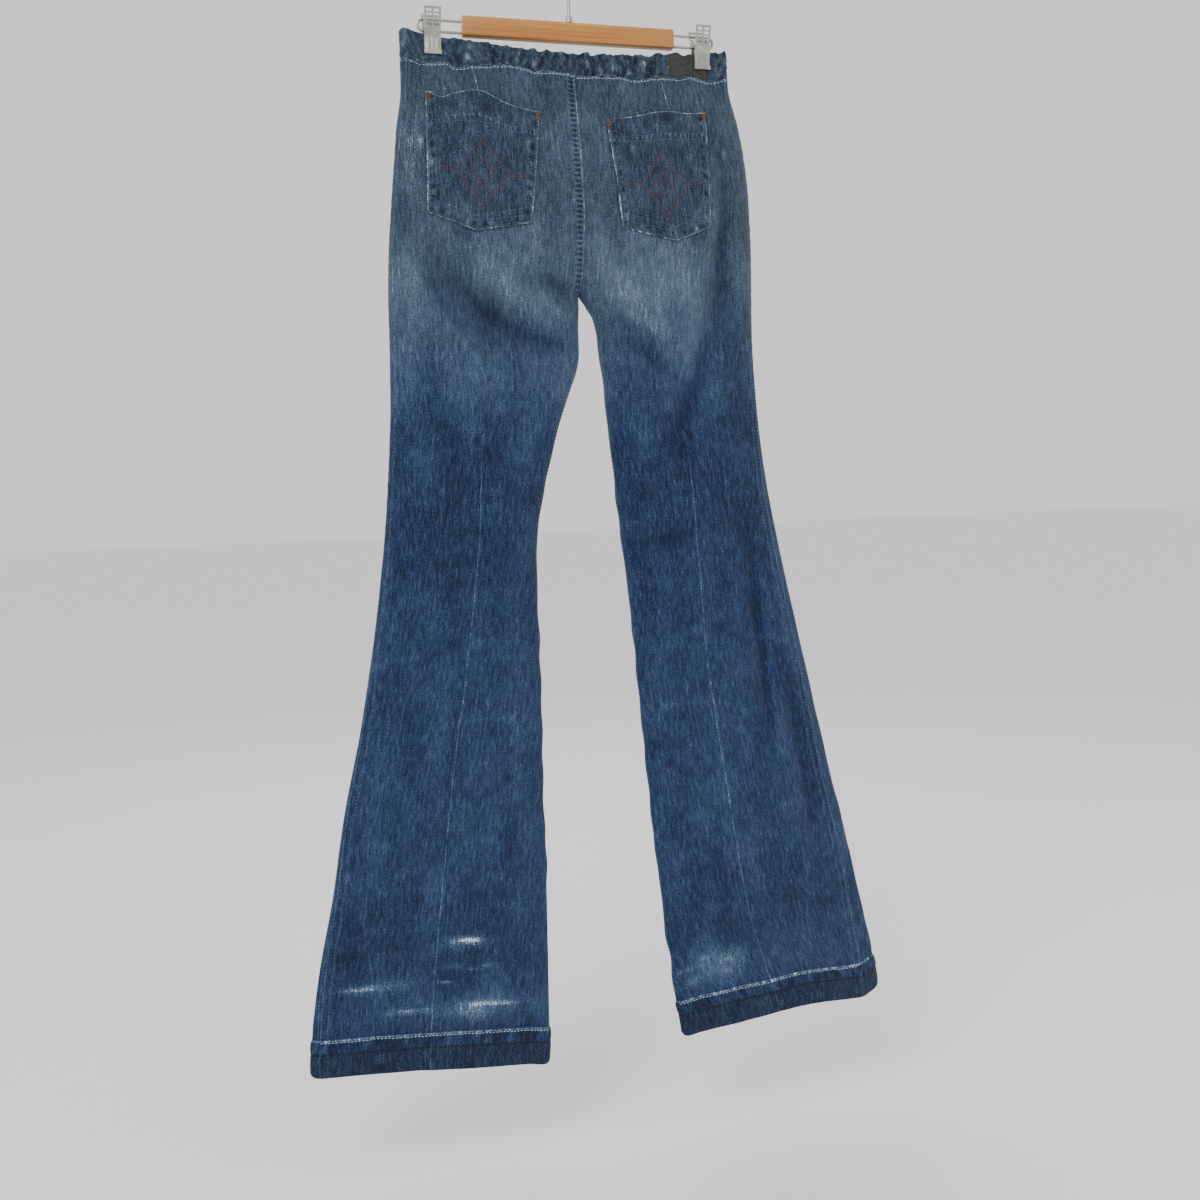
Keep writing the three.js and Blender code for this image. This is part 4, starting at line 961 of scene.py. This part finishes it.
# Hanger: wood and steel
wood = Finish("hangerWood")
grainLines = wood.noise((9, 260, 420), 4.0, 0.6, "Object")
figure = wood.noise((3, 40, 60), 3.0, 0.5, "Object")
tone = (grainLines * 1.1 + figure * 0.9 + 0.5).within(0.0, 1.0)
wood.set("Base Color",
         wood.colours(tone, [(0.0, tint("#8c5420")), (0.45, tint("#b0702e")), (1.0, tint("#cd944d"))]))
wood.set("Roughness", 0.42 + grainLines * 0.2)
wood.set("Coat Weight", 0.25)
wood.bump(grainLines, 0.0003)
steel = Finish("satinSteel")
brushed = steel.noise((60, 60, 1500), 3.0, 0.6, "Object")
blotch = steel.noise((90, 90, 90), 3.0, 0.6, "Object")
shine = (brushed * 0.8 + blotch * 1.2 + 0.5).within(0.0, 1.0)
steel.set("Base Color", steel.colours(shine, [(0.0, tint("#8b8b85")), (1.0, tint("#c6c5bc"))]))
steel.set("Metallic", 1.0)
steel.set("Roughness", 0.36 + blotch * 0.3)
steel.bump(brushed, 0.0001)


# A finer copy of a hard node: its loose triangles merged, its edges rounded
def finerCopy(node, name, rounding):
    piece = placed(name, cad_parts[node].data.copy())
    bpy.ops.object.mode_set(mode="EDIT")
    bpy.ops.mesh.select_all(action="SELECT")
    bpy.ops.mesh.remove_doubles(threshold=0.00002)
    bpy.ops.mesh.dissolve_limited(angle_limit=math.radians(1))
    bpy.ops.object.mode_set(mode="OBJECT")
    bevel = piece.modifiers.new("edges", "BEVEL")
    bevel.width, bevel.segments, bevel.angle_limit = rounding * mm, 2, math.radians(40)
    bpy.ops.object.modifier_apply(modifier=bevel.name)
    bpy.ops.object.shade_smooth_by_angle(angle=math.radians(35))
    return piece


# A wire along points in millimetres, with z below the hook
def wirePiece(name, points, radius):
    line = bpy.data.curves.new(name, "CURVE")
    line.dimensions = "3D"
    line.bevel_depth, line.bevel_resolution, line.use_fill_caps = radius * mm, 4, True
    spline = line.splines.new("POLY")
    spline.points.add(len(points) - 1)
    for place, point in zip(spline.points, points):
        place.co = (*(v * mm for v in point), 1)
    piece = placed(name, line)
    bpy.ops.object.convert(target="MESH")
    bpy.ops.object.shade_smooth()
    return piece


bar = finerCopy("hanger_bar", "hangerBar", 0.5)
finishPiece(bar, wood.material, "wood", "hanger_bar")
collarPiece = finerCopy("hanger_collar", "hangerCollar", 0.4)
finishPiece(collarPiece, steel.material, "wire", "hanger_collar")
hook = dict(radius=1.7, bend=20, middle=-18.3, shaftTop=-54, foot=-81.4, ends=(205, -50))
angles = np.radians(np.linspace(*hook["ends"], 60))
arc = np.stack([hook["bend"] * np.cos(angles), 0 * angles, hook["middle"] + hook["bend"] * np.sin(angles)],
               1)
leave = np.array([math.sin(angles[-1]), 0, -math.cos(angles[-1])]) * hook["bend"] / 2
t = np.linspace(0, 1, 24)[1:, None]
ends = [arc[-1], arc[-1] + leave, np.array([0, 0, hook["shaftTop"] + hook["bend"] / 2]),
        np.array([0, 0, hook["shaftTop"]])]
bend = ((1 - t) ** 3 * ends[0] + 3 * t * (1 - t) ** 2 * ends[1] + 3 * t ** 2 * (1 - t) * ends[2]
        + t ** 3 * ends[3])
hookPiece = wirePiece("hangerHook", [*arc, *bend, (0, 0, hook["foot"])], hook["radius"])
finishPiece(hookPiece, steel.material, "wire", "hanger_hook")
loop = dict(radius=1.4, middle=-99.6, bend=5.6, start=113.3, reach=152.2)
for side, sign in (("left", -1), ("right", 1)):
    turnAngles = np.linspace(math.pi / 2, -math.pi / 2, 24)
    path = [(sign * loop["start"], 0, loop["middle"] + loop["bend"])]
    path += [(sign * (loop["reach"] + loop["bend"] * math.cos(a)), 0,
              loop["middle"] + loop["bend"] * math.sin(a)) for a in turnAngles]
    path.append((sign * loop["start"], 0, loop["middle"] - loop["bend"]))
    finishPiece(wirePiece(f"{side}Loop", path, loop["radius"]), steel.material, "wire",
                f"hanger_loop_{side}")
    for part in ("back_jaw", "front_jaw", "spring"):
        piece = finerCopy(f"clip_{side}_{part}", f"{side}Clip{part.title().replace('_', '')}", 0.22)
        finishPiece(piece, steel.material, "clip_steel", f"clip_{side}_{part}")
print("hanger")

# Plain studio
studio = dict(floor=-1.30, world=1.0, lights=dict(
    key=dict(place=(-1.3, -1.4, 1.0), size=1.0, power=28),
    fill=dict(place=(2.2, -0.9, -0.5), size=1.8, power=16),
    rim=dict(place=(0.3, 1.8, 0.8), size=1.4, power=14)))
bpy.ops.object.select_all(action="DESELECT")
bpy.ops.mesh.primitive_plane_add(size=40, location=(0, 0, studio["floor"]))
floor = bpy.context.object
floor.name = "floor"
paper = Finish("palePaper")
paper.set("Base Color", (0.9, 0.9, 0.9, 1))
paper.set("Roughness", 0.9)
floor.data.materials.append(paper.material)
world = bpy.data.worlds.new("studio")
bpy.context.scene.world = world
world.use_nodes = True
world.node_tree.nodes["Background"].inputs["Color"].default_value = (1, 1, 1, 1)
world.node_tree.nodes["Background"].inputs["Strength"].default_value = studio["world"]
for name, settings in studio["lights"].items():
    bpy.ops.object.light_add(type="AREA", location=settings["place"])
    light = bpy.context.object
    light.name = name
    light.data.size, light.data.energy = settings["size"], settings["power"]
    light.rotation_euler = (Vector((0, 0, -0.6)) - light.location).to_track_quat("-Z", "Y").to_euler()
print("studio")
